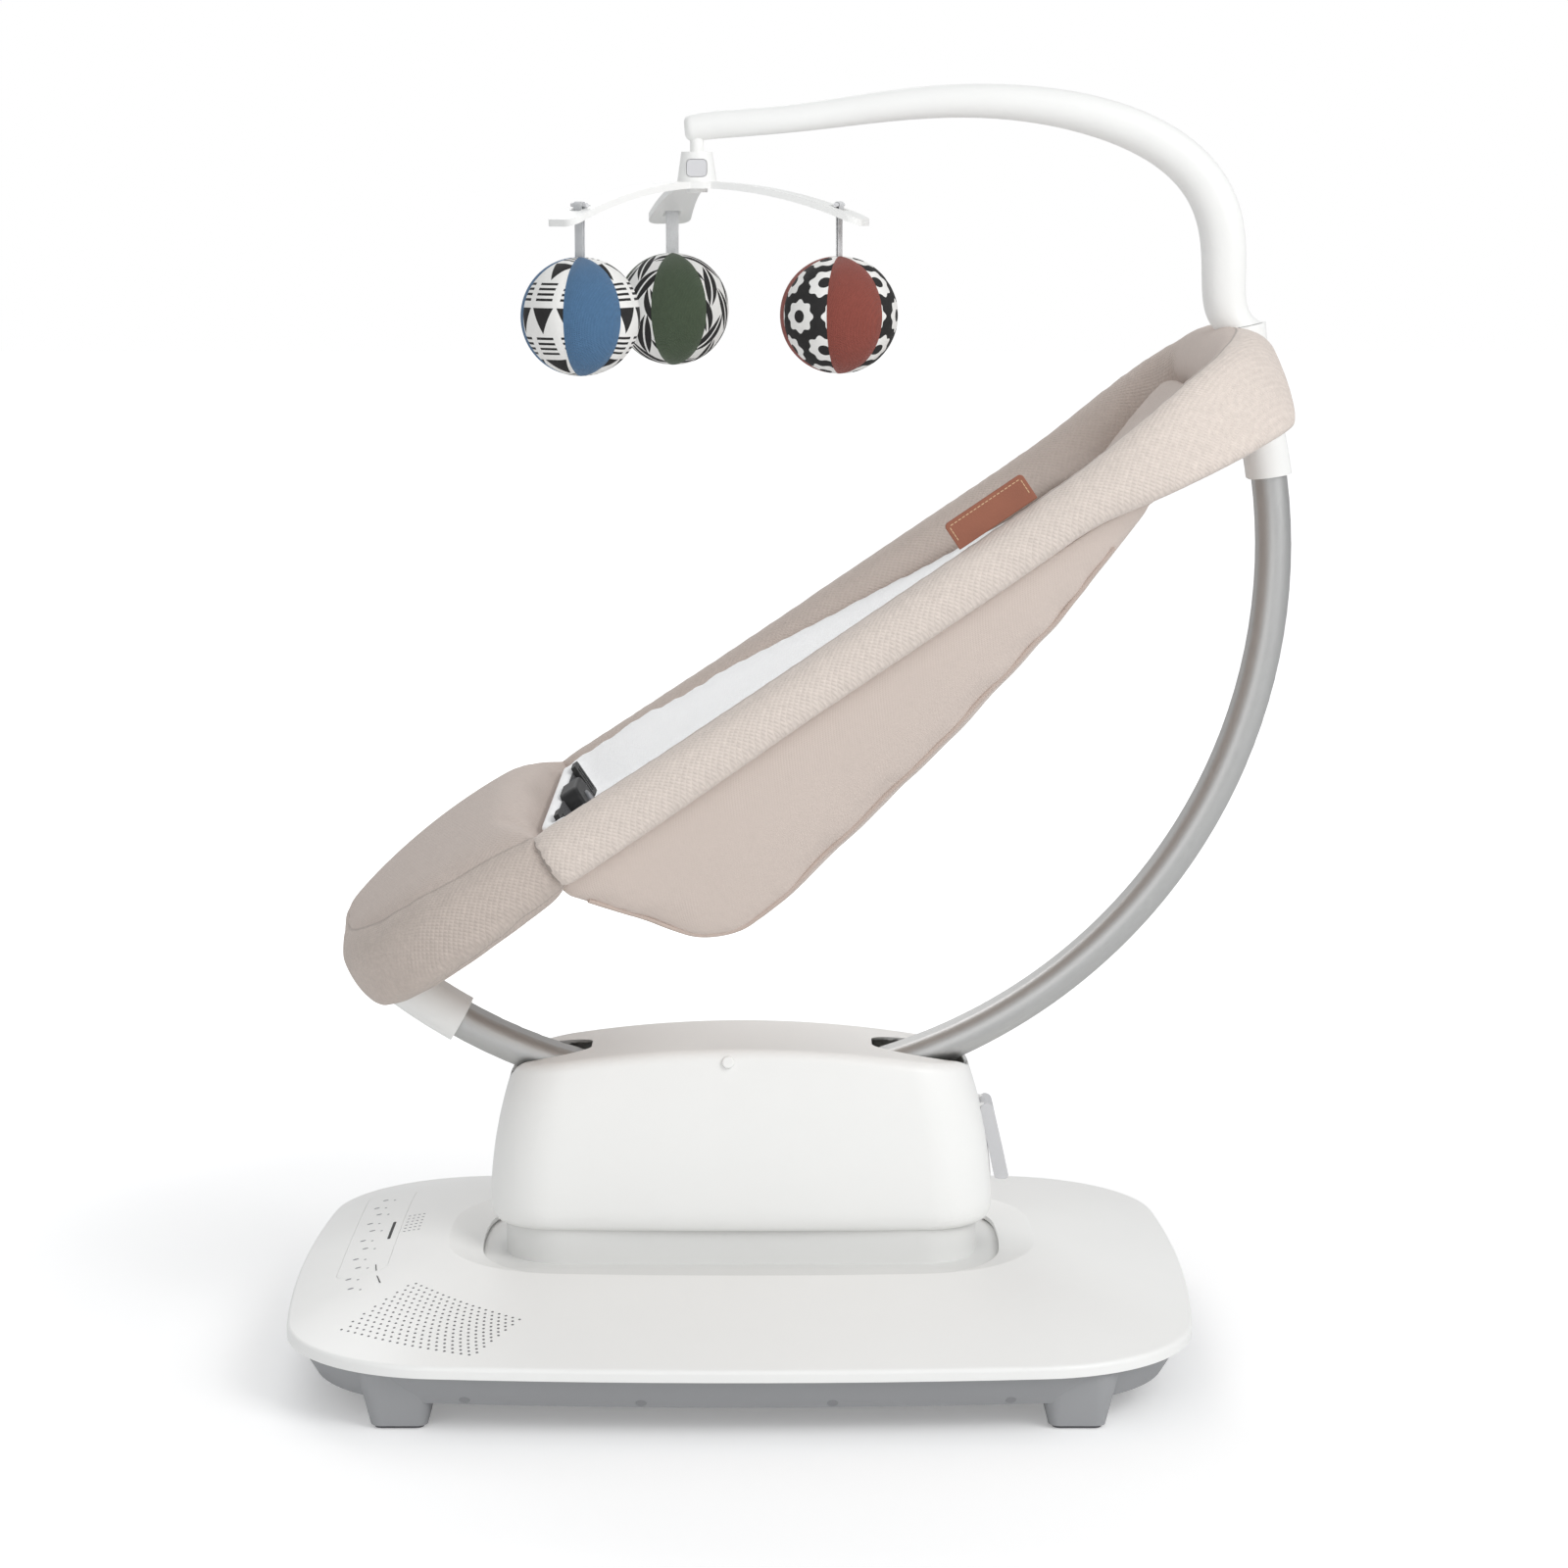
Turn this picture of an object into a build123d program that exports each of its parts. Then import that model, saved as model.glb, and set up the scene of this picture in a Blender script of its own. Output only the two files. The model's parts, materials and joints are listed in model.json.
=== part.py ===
"""Motion baby swing: a domed base, a tower that sways and lifts, a reclining seat on a curved rail, and a
toy arm with a three-ball mobile.  Millimetres, +Z up, +X from the foot end to the head end, floor at Z = 0.
The origin is the middle of the bounding box on the floor."""

import math
import os

from build123d import *

os.makedirs("parts", exist_ok=True)

# Driving dimensions

# Fits
RUN = 0.06  # radial running clearance of a shaft in its bush
SEAT_GAP = 0.3  # gap between a soft or moulded piece and what carries it
FLOAT = 0.5  # gap between covers that slide past each other

# Base
BASE_LENGTH = 600.0
BASE_WIDTH = 495.0
BASE_END_BOW = 18.0
BASE_SIDE_BOW = 17.5
BASE_CORNER = 110.0
PAD_HEIGHT = 2.0
TRAY_BOTTOM = 18.0
TRAY_TOP = 43.0
TRAY_WALL = 3.0
TRAY_TAPER = 14.0  # how far the tray's foot draws in on each side
LEG_X = 214.0
LEG_Y = 201.0
LEG_TOP = (54.0, 46.0)
LEG_FOOT = (36.0, 32.0)
LEG_CORNER = 7.0
LIP_BOTTOM = 39.6
RIM_TOP = 47.0
COVER_WALL = 3.0
SHOULDER = 3.5  # thickness of the cover's lip round the tray
DOME_LENGTH = 510.0
DOME_WIDTH = 372.0
DOME_HEIGHT = 61.0
DISH_SLOPE = (24.0, 11.0)  # how far the dish runs out past the mouth, along and across
DISH_HEIGHT = 70.5
DISH_CORNER = 84.0
MOUTH_CLEAR = (16.0, 10.0)  # from the sliding skirt to the mouth, at the ends and at full sway
MOUTH_HEIGHT = 66.0
MOUTH_CORNER = 70.0

# Motion
SWAY = 38.0  # each way, along Y
LIFT = 38.0  # upwards from the lowest position

# Tower
HOUSING_LENGTH = 340.0
HOUSING_WIDTH = 128.0
HOUSING_BOTTOM = 86.0
HOUSING_MID = 140.0
HOUSING_SHOULDER = 196.0
HOUSING_CROWN = 207.0
HOUSING_WALL = 3.0
HOUSING_CORNER = 46.0
HOUSING_MID_DRAW = 4.0  # how far the wall has drawn in at mid height, each side
HOUSING_TOP_DRAW = 20.0
HOUSING_TOP_DRAW_Y = 10.0
CROWN_RADIUS = 780.0
CROWN_FILLET = 9.0
SKIRT_CLEAR = (8.0, 6.0)  # from the skirt to the tower's wall, at the ends and the sides
SKIRT_TOP = 132.0
SKIRT_WALL = 2.5
SKIRT_CORNER = 40.0
SKIRT_FOOT_DRAW = 16.0  # how far each end draws in where it stands on the carriage
SKIRT_FOOT_CORNER = 16.0
SHUTTER_TOP = 62.0
SHUTTER_DROP = 12.0
SHUTTER_LAP = (8.0, 5.0)  # how far the shutter stays under the mouth's edge, at the ends and at full sway

# Seat rail
RAIL_RADIUS = 363.0  # centreline
RAIL_THICK = 22.0
RAIL_WIDTH = 38.0
RAIL_WALL = 1.6
RAIL_INSET = 10.3347  # from the tower's end to where the rail crosses the height of its crown
RAIL_OFFSET = -9.0  # of the rail's centre from the middle of the base, along X
RAIL_FOOT_ANGLE = -127.5
RAIL_HEAD_ANGLE = 13.0
SLEEVE_WALL = 3.4
FOOT_SLEEVE_ANGLE = -119.7
HEAD_SLEEVE_ANGLE = 8.3

# Seat
SEAT_TILT = 34.1
SEAT_AHEAD = 39.5  # middle of the rim's top plane, from the rail's centre
SEAT_BELOW = 49.0
SEAT_LENGTH = 746.0
SEAT_WIDTH = 372.0
SEAT_END_BOW = 38.0
SEAT_SIDE_BOW = 8.0
SEAT_CORNER = 118.0
RIM_THICK = 36.0  # of the padded rim, seen from above
RIM_HEAD_THICK = 60.0  # of the rim at the head end, where it covers the hub
RIM_DEPTH = 46.0
RIM_HEAD_DEPTH = 72.0
RIM_SLOPE_START = 205.0  # where the rim starts to deepen towards the head
FOOT_DEPTH = 56.0
FOOT_CROWN = 24.0  # rise of the foot cover's top over the rim, at its highest
FOOT_CROWN_BACK = 123.0  # from the foot end to the highest place
OPENING_EDGE = -197.0  # along the seat, where the foot cover ends
FRAME_TUBE = 18.0
FRAME_WALL = 1.5
FRAME_DEPTH = 27.0

# Toy arm and mobile
ARM_BASE = (26.0, 31.0)  # across and along the seat
ARM_TIP = (15.0, 17.0)
ARM_AHEAD = 337.9  # foot of the arm, from the rail's centre
ARM_ABOVE = 150.4
ARM_LEAN = 11.0  # of the stem, towards the foot end
PLUG_DIAMETER = 14.0
PLUG_LENGTH = 30.0
HUB_BEHIND = 19.0  # middle of the mobile, from the rail's centre
PIN_DIAMETER = 9.0
SPIDER_ABOVE = 245.0  # top of the mobile, from the rail's centre
SPIDER_RADIUS = 290.0
SPIDER_THICK = 4.5
PADDLE_REACH = 116.0
PADDLE_WIDTH = 29.0
PADDLE_NECK = 15.0
RIBBON_REACH = 98.0
RIBBON_WIDTH = 8.5
RIBBON_THICK = 1.0
BALL_DIAMETER = 77.0
BALL_DROP = 71.0  # from the ribbon's pivot to the middle of the ball
MOBILE_TURN = -18.8
SWING = 25.0  # of each ball, each way, in degrees

# Drive
GEAR_MODULE = 1.5
GEAR_TEETH = 18
GEAR_FACE = 9.0
BACKLASH = 0.3
PRESSURE_ANGLE = 20.0
ROD_DIAMETER = 10.0
ROD_X = 115.0
ROD_Z = 34.0
COLUMN_DIAMETER = 12.0
COLUMN_INSET = 54.0  # from the tower's end
COLUMN_Y = 38.0
COLUMN_TOP = 165.0

# Worked-out places

BASE_X = -(RAIL_RADIUS + RAIL_THICK / 2 + RAIL_OFFSET - BASE_LENGTH / 2) / 2
RAIL_X = BASE_X + RAIL_OFFSET
RAIL_Z = HOUSING_CROWN + math.sqrt(RAIL_RADIUS**2 - (HOUSING_LENGTH / 2 - RAIL_INSET) ** 2)
SEAT_X = RAIL_X + SEAT_AHEAD
SEAT_Z = RAIL_Z - SEAT_BELOW
ARM_BASE_X = RAIL_X + ARM_AHEAD
ARM_BASE_Z = RAIL_Z + ARM_ABOVE
HUB_X = RAIL_X - HUB_BEHIND
SPIDER_TOP = RAIL_Z + SPIDER_ABOVE
COLUMN_X = HOUSING_LENGTH / 2 - COLUMN_INSET
SKIRT_LENGTH = HOUSING_LENGTH - 2 * HOUSING_WALL - 2 * SKIRT_CLEAR[0]
SKIRT_WIDTH = HOUSING_WIDTH - 2 * HOUSING_WALL - 2 * SKIRT_CLEAR[1]
SKIRT_FOOT = SKIRT_LENGTH - 2 * SKIRT_FOOT_DRAW
MOUTH_LENGTH = SKIRT_LENGTH + 2 * MOUTH_CLEAR[0]
MOUTH_WIDTH = SKIRT_WIDTH + 2 * SWAY + 2 * MOUTH_CLEAR[1]
DISH_LENGTH = MOUTH_LENGTH + 2 * DISH_SLOPE[0]
DISH_WIDTH = MOUTH_WIDTH + 2 * DISH_SLOPE[1]
SHUTTER_LENGTH = MOUTH_LENGTH + 2 * SHUTTER_LAP[0]
SHUTTER_REACH = MOUTH_WIDTH / 2 + SWAY + SHUTTER_LAP[1]
rail_axis = Axis((RAIL_X, 0, RAIL_Z), (0, -1, 0))
tilt = math.radians(SEAT_TILT)
seat_plane = Plane(
    origin=(SEAT_X, 0, SEAT_Z),
    x_dir=(math.cos(tilt), 0, math.sin(tilt)),
    z_dir=(-math.sin(tilt), 0, math.cos(tilt)),
)
side_plane = Plane(origin=seat_plane.origin, x_dir=seat_plane.x_dir, z_dir=(0, -1, 0))
print("base centre", BASE_X, "rail centre", RAIL_X)


def base_plane(height):
    """Level plane over the middle of the base."""
    return Plane.XY.offset(height).move(Location((BASE_X, 0, 0)))


def rail_plane(angle):
    """Plane square to the rail's centreline; its x runs outwards, its y across."""
    a = math.radians(angle)
    return Plane(
        origin=(RAIL_X + RAIL_RADIUS * math.cos(a), 0, RAIL_Z + RAIL_RADIUS * math.sin(a)),
        x_dir=(math.cos(a), 0, math.sin(a)),
        z_dir=(-math.sin(a), 0, math.cos(a)),
    )


def bowed(length, width, end_bow, side_bow, corner):
    """Rounded rectangle whose four sides bow outwards."""
    x = length / 2 - end_bow
    y = width / 2 - side_bow
    with BuildSketch(Plane.XY, mode=Mode.PRIVATE) as outline:
        with BuildLine():
            ThreePointArc((x, -y), (length / 2, 0), (x, y))
            ThreePointArc((x, y), (0, width / 2), (-x, y))
            ThreePointArc((-x, y), (-length / 2, 0), (-x, -y))
            ThreePointArc((-x, -y), (0, -width / 2), (x, -y))
        make_face()
        fillet(outline.vertices(), corner)
    return outline.sketch_local


def base_outline(inset):
    """Outline of the base, drawn in by the inset on every side."""
    return bowed(
        BASE_LENGTH - 2 * inset,
        BASE_WIDTH - 2 * inset,
        BASE_END_BOW,
        BASE_SIDE_BOW,
        BASE_CORNER - inset,
    )


def seat_outline(inset):
    """Outline of the seat rim seen square to its plane."""
    return bowed(
        SEAT_LENGTH - 2 * inset,
        SEAT_WIDTH - 2 * inset,
        SEAT_END_BOW,
        SEAT_SIDE_BOW,
        SEAT_CORNER - inset,
    )


def seat_opening(inset, corner):
    """Space inside the rim seen square to its plane, cut straight at the head end."""
    head = SEAT_LENGTH / 2 - RIM_HEAD_THICK + RIM_THICK - inset
    with BuildSketch(Plane.XY, mode=Mode.PRIVATE) as opening:
        add(seat_outline(inset))
        with Locations((head - SEAT_LENGTH / 2, 0)):
            Rectangle(SEAT_LENGTH, SEAT_WIDTH, mode=Mode.INTERSECT)
        fillet(opening.vertices().group_by(Axis.X)[-1], corner)
    return opening.sketch_local


def rail_oval(grow):
    """Section of the rail, grown all round; x is radial, y across."""
    with BuildSketch(Plane.XY, mode=Mode.PRIVATE) as oval:
        SlotOverall(RAIL_WIDTH + 2 * grow, RAIL_THICK + 2 * grow, rotation=90)
    return oval.sketch_local


def finish(part, label):
    """Name a piece and write it."""
    part.label = label
    export_step(part, "parts/" + label + ".step")
    print(label, len(part.solids()), "solids", round(part.volume / 1000, 1), "cm3", part.is_valid)


# Base tray with its four legs

with BuildPart() as leg_blocks:
    with BuildSketch(base_plane(PAD_HEIGHT)):
        with GridLocations(2 * LEG_X, 2 * LEG_Y, 2, 2):
            RectangleRounded(*LEG_FOOT, LEG_CORNER)
    extrude(amount=LIP_BOTTOM - FLOAT - PAD_HEIGHT, taper=-14)
    with BuildSketch(base_plane(PAD_HEIGHT)):
        add(base_outline(SHOULDER + 0.5))
    extrude(amount=LIP_BOTTOM, mode=Mode.INTERSECT)

TRAY_EDGE = SHOULDER + SEAT_GAP
TRAY_FLOOR = TRAY_BOTTOM + TRAY_WALL
BOARD_X = -238.0
BOARD_Y = 45.0
BOARD_SIZE = (52.0, 150.0)
BOARD_Z = TRAY_FLOOR + 12
INLET_Y = -20.0
INLET_Z = 31.0
INLET_BARREL = 11.0
SCREW_X = 190.0
SCREW_Y = 380.0
SCREW_HEAD = 7.4
with BuildPart() as base_tray:
    with BuildSketch(base_plane(TRAY_BOTTOM)):
        add(base_outline(TRAY_EDGE + TRAY_TAPER))
    with BuildSketch(base_plane(TRAY_TOP)):
        add(base_outline(TRAY_EDGE))
    loft()
    with BuildSketch(base_plane(TRAY_FLOOR)):
        add(base_outline(TRAY_EDGE + TRAY_TAPER + TRAY_WALL))
    with BuildSketch(base_plane(TRAY_TOP)):
        add(base_outline(TRAY_EDGE + TRAY_WALL))
    loft(mode=Mode.SUBTRACT)
    add(leg_blocks.part)
    with BuildSketch(base_plane(TRAY_FLOOR - 1)):
        with Locations((BOARD_X, BOARD_Y)):
            with GridLocations(BOARD_SIZE[0] - 10, BOARD_SIZE[1] - 10, 2, 2):
                Circle(4)
    extrude(amount=BOARD_Z - TRAY_FLOOR + 1)
    with BuildSketch(Plane(origin=(BASE_X + BASE_LENGTH / 2, INLET_Y, INLET_Z), z_dir=(1, 0, 0))):
        Circle(INLET_BARREL / 2 + SEAT_GAP)
    extrude(amount=-40, mode=Mode.SUBTRACT)
    with BuildSketch(base_plane(TRAY_BOTTOM)):
        with GridLocations(SCREW_X, SCREW_Y, 3, 2):
            Circle(SCREW_HEAD / 2 + SEAT_GAP)
    extrude(amount=2.0, mode=Mode.SUBTRACT)
finish(base_tray.part, "base_tray")

with BuildPart() as foot_pads:
    with BuildSketch(base_plane(0)):
        with GridLocations(2 * LEG_X, 2 * LEG_Y, 2, 2):
            RectangleRounded(LEG_FOOT[0] - 5, LEG_FOOT[1] - 5, LEG_CORNER - 2)
    extrude(amount=PAD_HEIGHT)
finish(foot_pads.part, "foot_pads")

with BuildPart() as base_screws:
    with BuildSketch(base_plane(TRAY_BOTTOM + 0.2)):
        with GridLocations(SCREW_X, SCREW_Y, 3, 2):
            Circle(SCREW_HEAD / 2)
    extrude(amount=1.8)
    with BuildSketch(base_plane(TRAY_BOTTOM)):
        with GridLocations(SCREW_X, SCREW_Y, 3, 2):
            Rectangle(4.4, 1.1)
            Rectangle(1.1, 4.4)
    extrude(amount=1.2, mode=Mode.SUBTRACT)
finish(base_screws.part, "base_screws")

# Domed base cover with the dish and mouth that the tower moves in

with BuildPart() as dome:
    with BuildSketch(base_plane(RIM_TOP)):
        add(base_outline(0))
    with BuildSketch(base_plane(DOME_HEIGHT)):
        add(bowed(DOME_LENGTH, DOME_WIDTH, BASE_END_BOW, BASE_SIDE_BOW, BASE_CORNER - 10))
    with BuildSketch(base_plane(DISH_HEIGHT)):
        add(bowed(DISH_LENGTH, DISH_WIDTH, 12, 10, DISH_CORNER))
    loft()
    with BuildSketch(base_plane(LIP_BOTTOM)):
        add(base_outline(0))
    extrude(amount=RIM_TOP - LIP_BOTTOM)
    rim_edge = dome.edges().filter_by(lambda e: abs(e.center().Z - RIM_TOP) < 0.01)
    fillet(rim_edge, 3.0)

PANEL_X = -252.0
PANEL_Y = 38.0
PANEL_SIZE = (34.0, 236.0)
PANEL_THICK = 1.2
with BuildPart() as control_panel:
    with BuildSketch(base_plane(LIP_BOTTOM)):
        with Locations((PANEL_X, PANEL_Y)):
            RectangleRounded(*PANEL_SIZE, 15)
    extrude(amount=DISH_HEIGHT)
    add(dome.part, mode=Mode.INTERSECT)
    add(dome.part.moved(Location((0, 0, -PANEL_THICK))), mode=Mode.SUBTRACT)
finish(control_panel.part, "control_panel")

with BuildPart() as base_cover:
    add(dome.part)
    with BuildSketch(base_plane(LIP_BOTTOM)):
        add(base_outline(SHOULDER))
    extrude(amount=TRAY_TOP - LIP_BOTTOM, mode=Mode.SUBTRACT)
    with BuildSketch(base_plane(TRAY_TOP)):
        add(base_outline(SHOULDER + COVER_WALL))
    extrude(amount=RIM_TOP - COVER_WALL - TRAY_TOP, mode=Mode.SUBTRACT)
    with BuildSketch(base_plane(RIM_TOP - COVER_WALL)):
        add(base_outline(SHOULDER + COVER_WALL))
    with BuildSketch(base_plane(DOME_HEIGHT - COVER_WALL)):
        add(bowed(DOME_LENGTH, DOME_WIDTH, BASE_END_BOW, BASE_SIDE_BOW, BASE_CORNER - 10))
    with BuildSketch(base_plane(DISH_HEIGHT - COVER_WALL)):
        add(bowed(DISH_LENGTH, DISH_WIDTH, 12, 10, DISH_CORNER))
    loft(mode=Mode.SUBTRACT)
    with BuildSketch(base_plane(DISH_HEIGHT - COVER_WALL)):
        add(bowed(DISH_LENGTH, DISH_WIDTH, 12, 10, DISH_CORNER))
    with BuildSketch(base_plane(MOUTH_HEIGHT - COVER_WALL)):
        add(bowed(MOUTH_LENGTH, MOUTH_WIDTH, 10, 8, MOUTH_CORNER))
    loft()
    with BuildSketch(base_plane(DISH_HEIGHT)):
        add(bowed(DISH_LENGTH - 2, DISH_WIDTH - 2, 12, 10, DISH_CORNER - 1))
    with BuildSketch(base_plane(MOUTH_HEIGHT)):
        add(bowed(MOUTH_LENGTH, MOUTH_WIDTH, 10, 8, MOUTH_CORNER))
    loft(mode=Mode.SUBTRACT)
    with BuildSketch(base_plane(MOUTH_HEIGHT - 2 * COVER_WALL)):
        add(bowed(MOUTH_LENGTH, MOUTH_WIDTH, 10, 8, MOUTH_CORNER))
    extrude(amount=4 * COVER_WALL, mode=Mode.SUBTRACT)
    with BuildSketch(base_plane(LIP_BOTTOM)):
        with Locations((PANEL_X, PANEL_Y)):
            RectangleRounded(PANEL_SIZE[0] + 0.4, PANEL_SIZE[1] + 0.4, 15.2)
    panel_bed = extrude(amount=DISH_HEIGHT, mode=Mode.PRIVATE)
    panel_bed = panel_bed - dome.part.moved(Location((0, 0, -PANEL_THICK - 0.05)))
    add(panel_bed, mode=Mode.SUBTRACT)
finish(base_cover.part, "base_cover")

# Electrics in the base

with BuildPart() as control_board:
    with BuildSketch(base_plane(BOARD_Z)):
        with Locations((BOARD_X, BOARD_Y)):
            Rectangle(*BOARD_SIZE)
    extrude(amount=1.6)
    with BuildSketch(base_plane(BOARD_Z + 1.6)):
        with Locations((BOARD_X, BOARD_Y - 30), (BOARD_X + 8, BOARD_Y + 40)):
            Rectangle(18, 18)
    extrude(amount=3)
finish(control_board.part, "control_board")

SPEAKER_X = -190.0
SPEAKER_Y = -128.0
with BuildPart() as speaker:
    with BuildSketch(Plane(origin=(BASE_X + SPEAKER_X, SPEAKER_Y, 0), x_dir=(1, 0, 0), z_dir=(0, -1, 0))):
        with BuildLine():
            Polyline(
                (0, TRAY_FLOOR),
                (17, TRAY_FLOOR),
                (17, TRAY_FLOOR + 9),
                (28, TRAY_FLOOR + 17),
                (31, TRAY_FLOOR + 17),
                (31, TRAY_FLOOR + 20),
                (26, TRAY_FLOOR + 20),
                (8, TRAY_FLOOR + 12),
                (0, TRAY_FLOOR + 14),
                close=True,
            )
        make_face()
    revolve(axis=Axis((BASE_X + SPEAKER_X, SPEAKER_Y, 0), (0, 0, 1)))
finish(speaker.part, "speaker")

INLET_FACE_X = BASE_X + BASE_LENGTH / 2 - 9
with BuildPart() as dc_inlet:
    with BuildSketch(Plane(origin=(INLET_FACE_X, INLET_Y, INLET_Z), z_dir=(1, 0, 0))):
        Circle(INLET_BARREL / 2)
    extrude(amount=-14)
    with BuildSketch(Plane(origin=(INLET_FACE_X - 14, INLET_Y, TRAY_FLOOR + 9), z_dir=(1, 0, 0))):
        Rectangle(18, 18)
    extrude(amount=-9)
    with BuildSketch(Plane(origin=(INLET_FACE_X, INLET_Y, INLET_Z), z_dir=(1, 0, 0))):
        Circle(3.2)
        Circle(1.0, mode=Mode.SUBTRACT)
    extrude(amount=-11, mode=Mode.SUBTRACT)
finish(dc_inlet.part, "dc_inlet")

# Sway guide: two rods, their end blocks, and the geared motor

ROD_HALF = 130.0
BLOCK_Y = 124.0
BLOCK_SIZE = (26.0, 12.0)
PLATE_BOTTOM = 44.0
PLATE_TOP = 50.0
with BuildPart() as sway_rods:
    with BuildSketch(Plane.XZ.offset(-ROD_HALF)):
        with Locations((BASE_X - ROD_X, ROD_Z), (BASE_X + ROD_X, ROD_Z)):
            Circle(ROD_DIAMETER / 2)
    extrude(amount=2 * ROD_HALF)
finish(sway_rods.part, "sway_rods")

with BuildPart() as rod_blocks:
    with BuildSketch(base_plane(TRAY_FLOOR)):
        with GridLocations(2 * ROD_X, 2 * BLOCK_Y, 2, 2):
            RectangleRounded(*BLOCK_SIZE, 2)
    extrude(amount=PLATE_BOTTOM - 2 - TRAY_FLOOR)
    with BuildSketch(Plane.XZ.offset(-ROD_HALF - 10)):
        with Locations((BASE_X - ROD_X, ROD_Z), (BASE_X + ROD_X, ROD_Z)):
            Circle(ROD_DIAMETER / 2 + RUN)
    extrude(amount=2 * ROD_HALF + 20, mode=Mode.SUBTRACT)
finish(rod_blocks.part, "rod_blocks")

GEAR_PITCH = GEAR_MODULE * GEAR_TEETH / 2
SWAY_GEAR_X = -40.0  # from the middle of the base
SWAY_GEAR_Z = 30.0
GEAR_SHAFT = 5.0
GEARBOX_TOP = SWAY_GEAR_Z - 0.5
with BuildPart() as sway_motor:
    with BuildSketch(base_plane(TRAY_FLOOR)):
        with Locations((SWAY_GEAR_X, 0)):
            RectangleRounded(38, 38, 4)
    extrude(amount=GEARBOX_TOP - TRAY_FLOOR)
    with BuildSketch(Plane(origin=(BASE_X + SWAY_GEAR_X - 19, 0, TRAY_FLOOR + 11), z_dir=(-1, 0, 0))):
        Circle(11)
    extrude(amount=36)
    with BuildSketch(base_plane(GEARBOX_TOP)):
        with Locations((SWAY_GEAR_X, 0)):
            Circle(GEAR_PITCH + 3)
    extrude(amount=16, mode=Mode.SUBTRACT)
    with BuildSketch(base_plane(GEARBOX_TOP)):
        with Locations((SWAY_GEAR_X, 0)):
            Circle(GEAR_SHAFT / 2 + RUN)
    extrude(amount=-6, mode=Mode.SUBTRACT)
finish(sway_motor.part, "sway_motor")


def gear_face(bore):
    """Spur gear outline with true involute flanks and a tooth pointing along x."""
    base_r = GEAR_PITCH * math.cos(math.radians(PRESSURE_ANGLE))
    tip_r = GEAR_PITCH + 0.9 * GEAR_MODULE
    root_r = GEAR_PITCH - 1.25 * GEAR_MODULE
    tip_t = math.sqrt((tip_r / base_r) ** 2 - 1)
    pitch_t = math.sqrt((GEAR_PITCH / base_r) ** 2 - 1)
    inv = pitch_t - math.atan(pitch_t)
    half = math.pi / (2 * GEAR_TEETH) - BACKLASH / (4 * GEAR_PITCH) + inv
    flank = []
    for i in range(4):
        t = tip_t * i / 3
        r = base_r * math.sqrt(1 + t * t)
        a = half - (t - math.atan(t))
        flank.append((r * math.cos(a), r * math.sin(a)))
    foot = (root_r * math.cos(half), root_r * math.sin(half))
    upper = [foot] + flank
    lower = [(x, -y) for x, y in upper]
    with BuildSketch(Plane.XY, mode=Mode.PRIVATE) as gear:
        Circle(root_r + 0.05)
        with BuildSketch(Plane.XY, mode=Mode.PRIVATE) as tooth:
            with BuildLine():
                Polyline((0, 0), *lower, *upper[::-1], close=True)
            make_face()
        with PolarLocations(0, GEAR_TEETH):
            add(tooth.sketch_local)
        if bore:
            Circle(bore, mode=Mode.SUBTRACT)
    return gear.sketch_local


def rack_face(length, back):
    """Rack outline: teeth point along -x from the pitch line at x = 0, with a gap centred at y = 0."""
    pitch = math.pi * GEAR_MODULE
    slope = math.tan(math.radians(PRESSURE_ANGLE))
    tip = 0.9 * GEAR_MODULE
    root = 1.25 * GEAR_MODULE
    half = pitch / 4 - BACKLASH / 4
    count = int(length / pitch) // 2
    with BuildSketch(Plane.XY, mode=Mode.PRIVATE) as rack:
        with Locations((root + back / 2, 0)):
            Rectangle(back, length)
        with BuildSketch(Plane.XY, mode=Mode.PRIVATE) as tooth:
            with BuildLine():
                Polyline(
                    (root + 0.5, -half - (root + 0.5) * slope),
                    (-tip, -half + tip * slope),
                    (-tip, half - tip * slope),
                    (root + 0.5, half + (root + 0.5) * slope),
                    close=True,
                )
            make_face()
        with GridLocations(0, pitch, 1, 2 * count):
            add(tooth.sketch_local)
    return rack.sketch_local


with BuildPart() as sway_gear:
    with BuildSketch(base_plane(SWAY_GEAR_Z).move(Location((SWAY_GEAR_X, 0, 0)))):
        add(gear_face(0))
    extrude(amount=GEAR_FACE)
    with BuildSketch(base_plane(SWAY_GEAR_Z)):
        with Locations((SWAY_GEAR_X, 0)):
            Circle(GEAR_SHAFT / 2)
    extrude(amount=-6)
finish(sway_gear.part, "sway_gear")

# Carriage that slides on the rods

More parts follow.
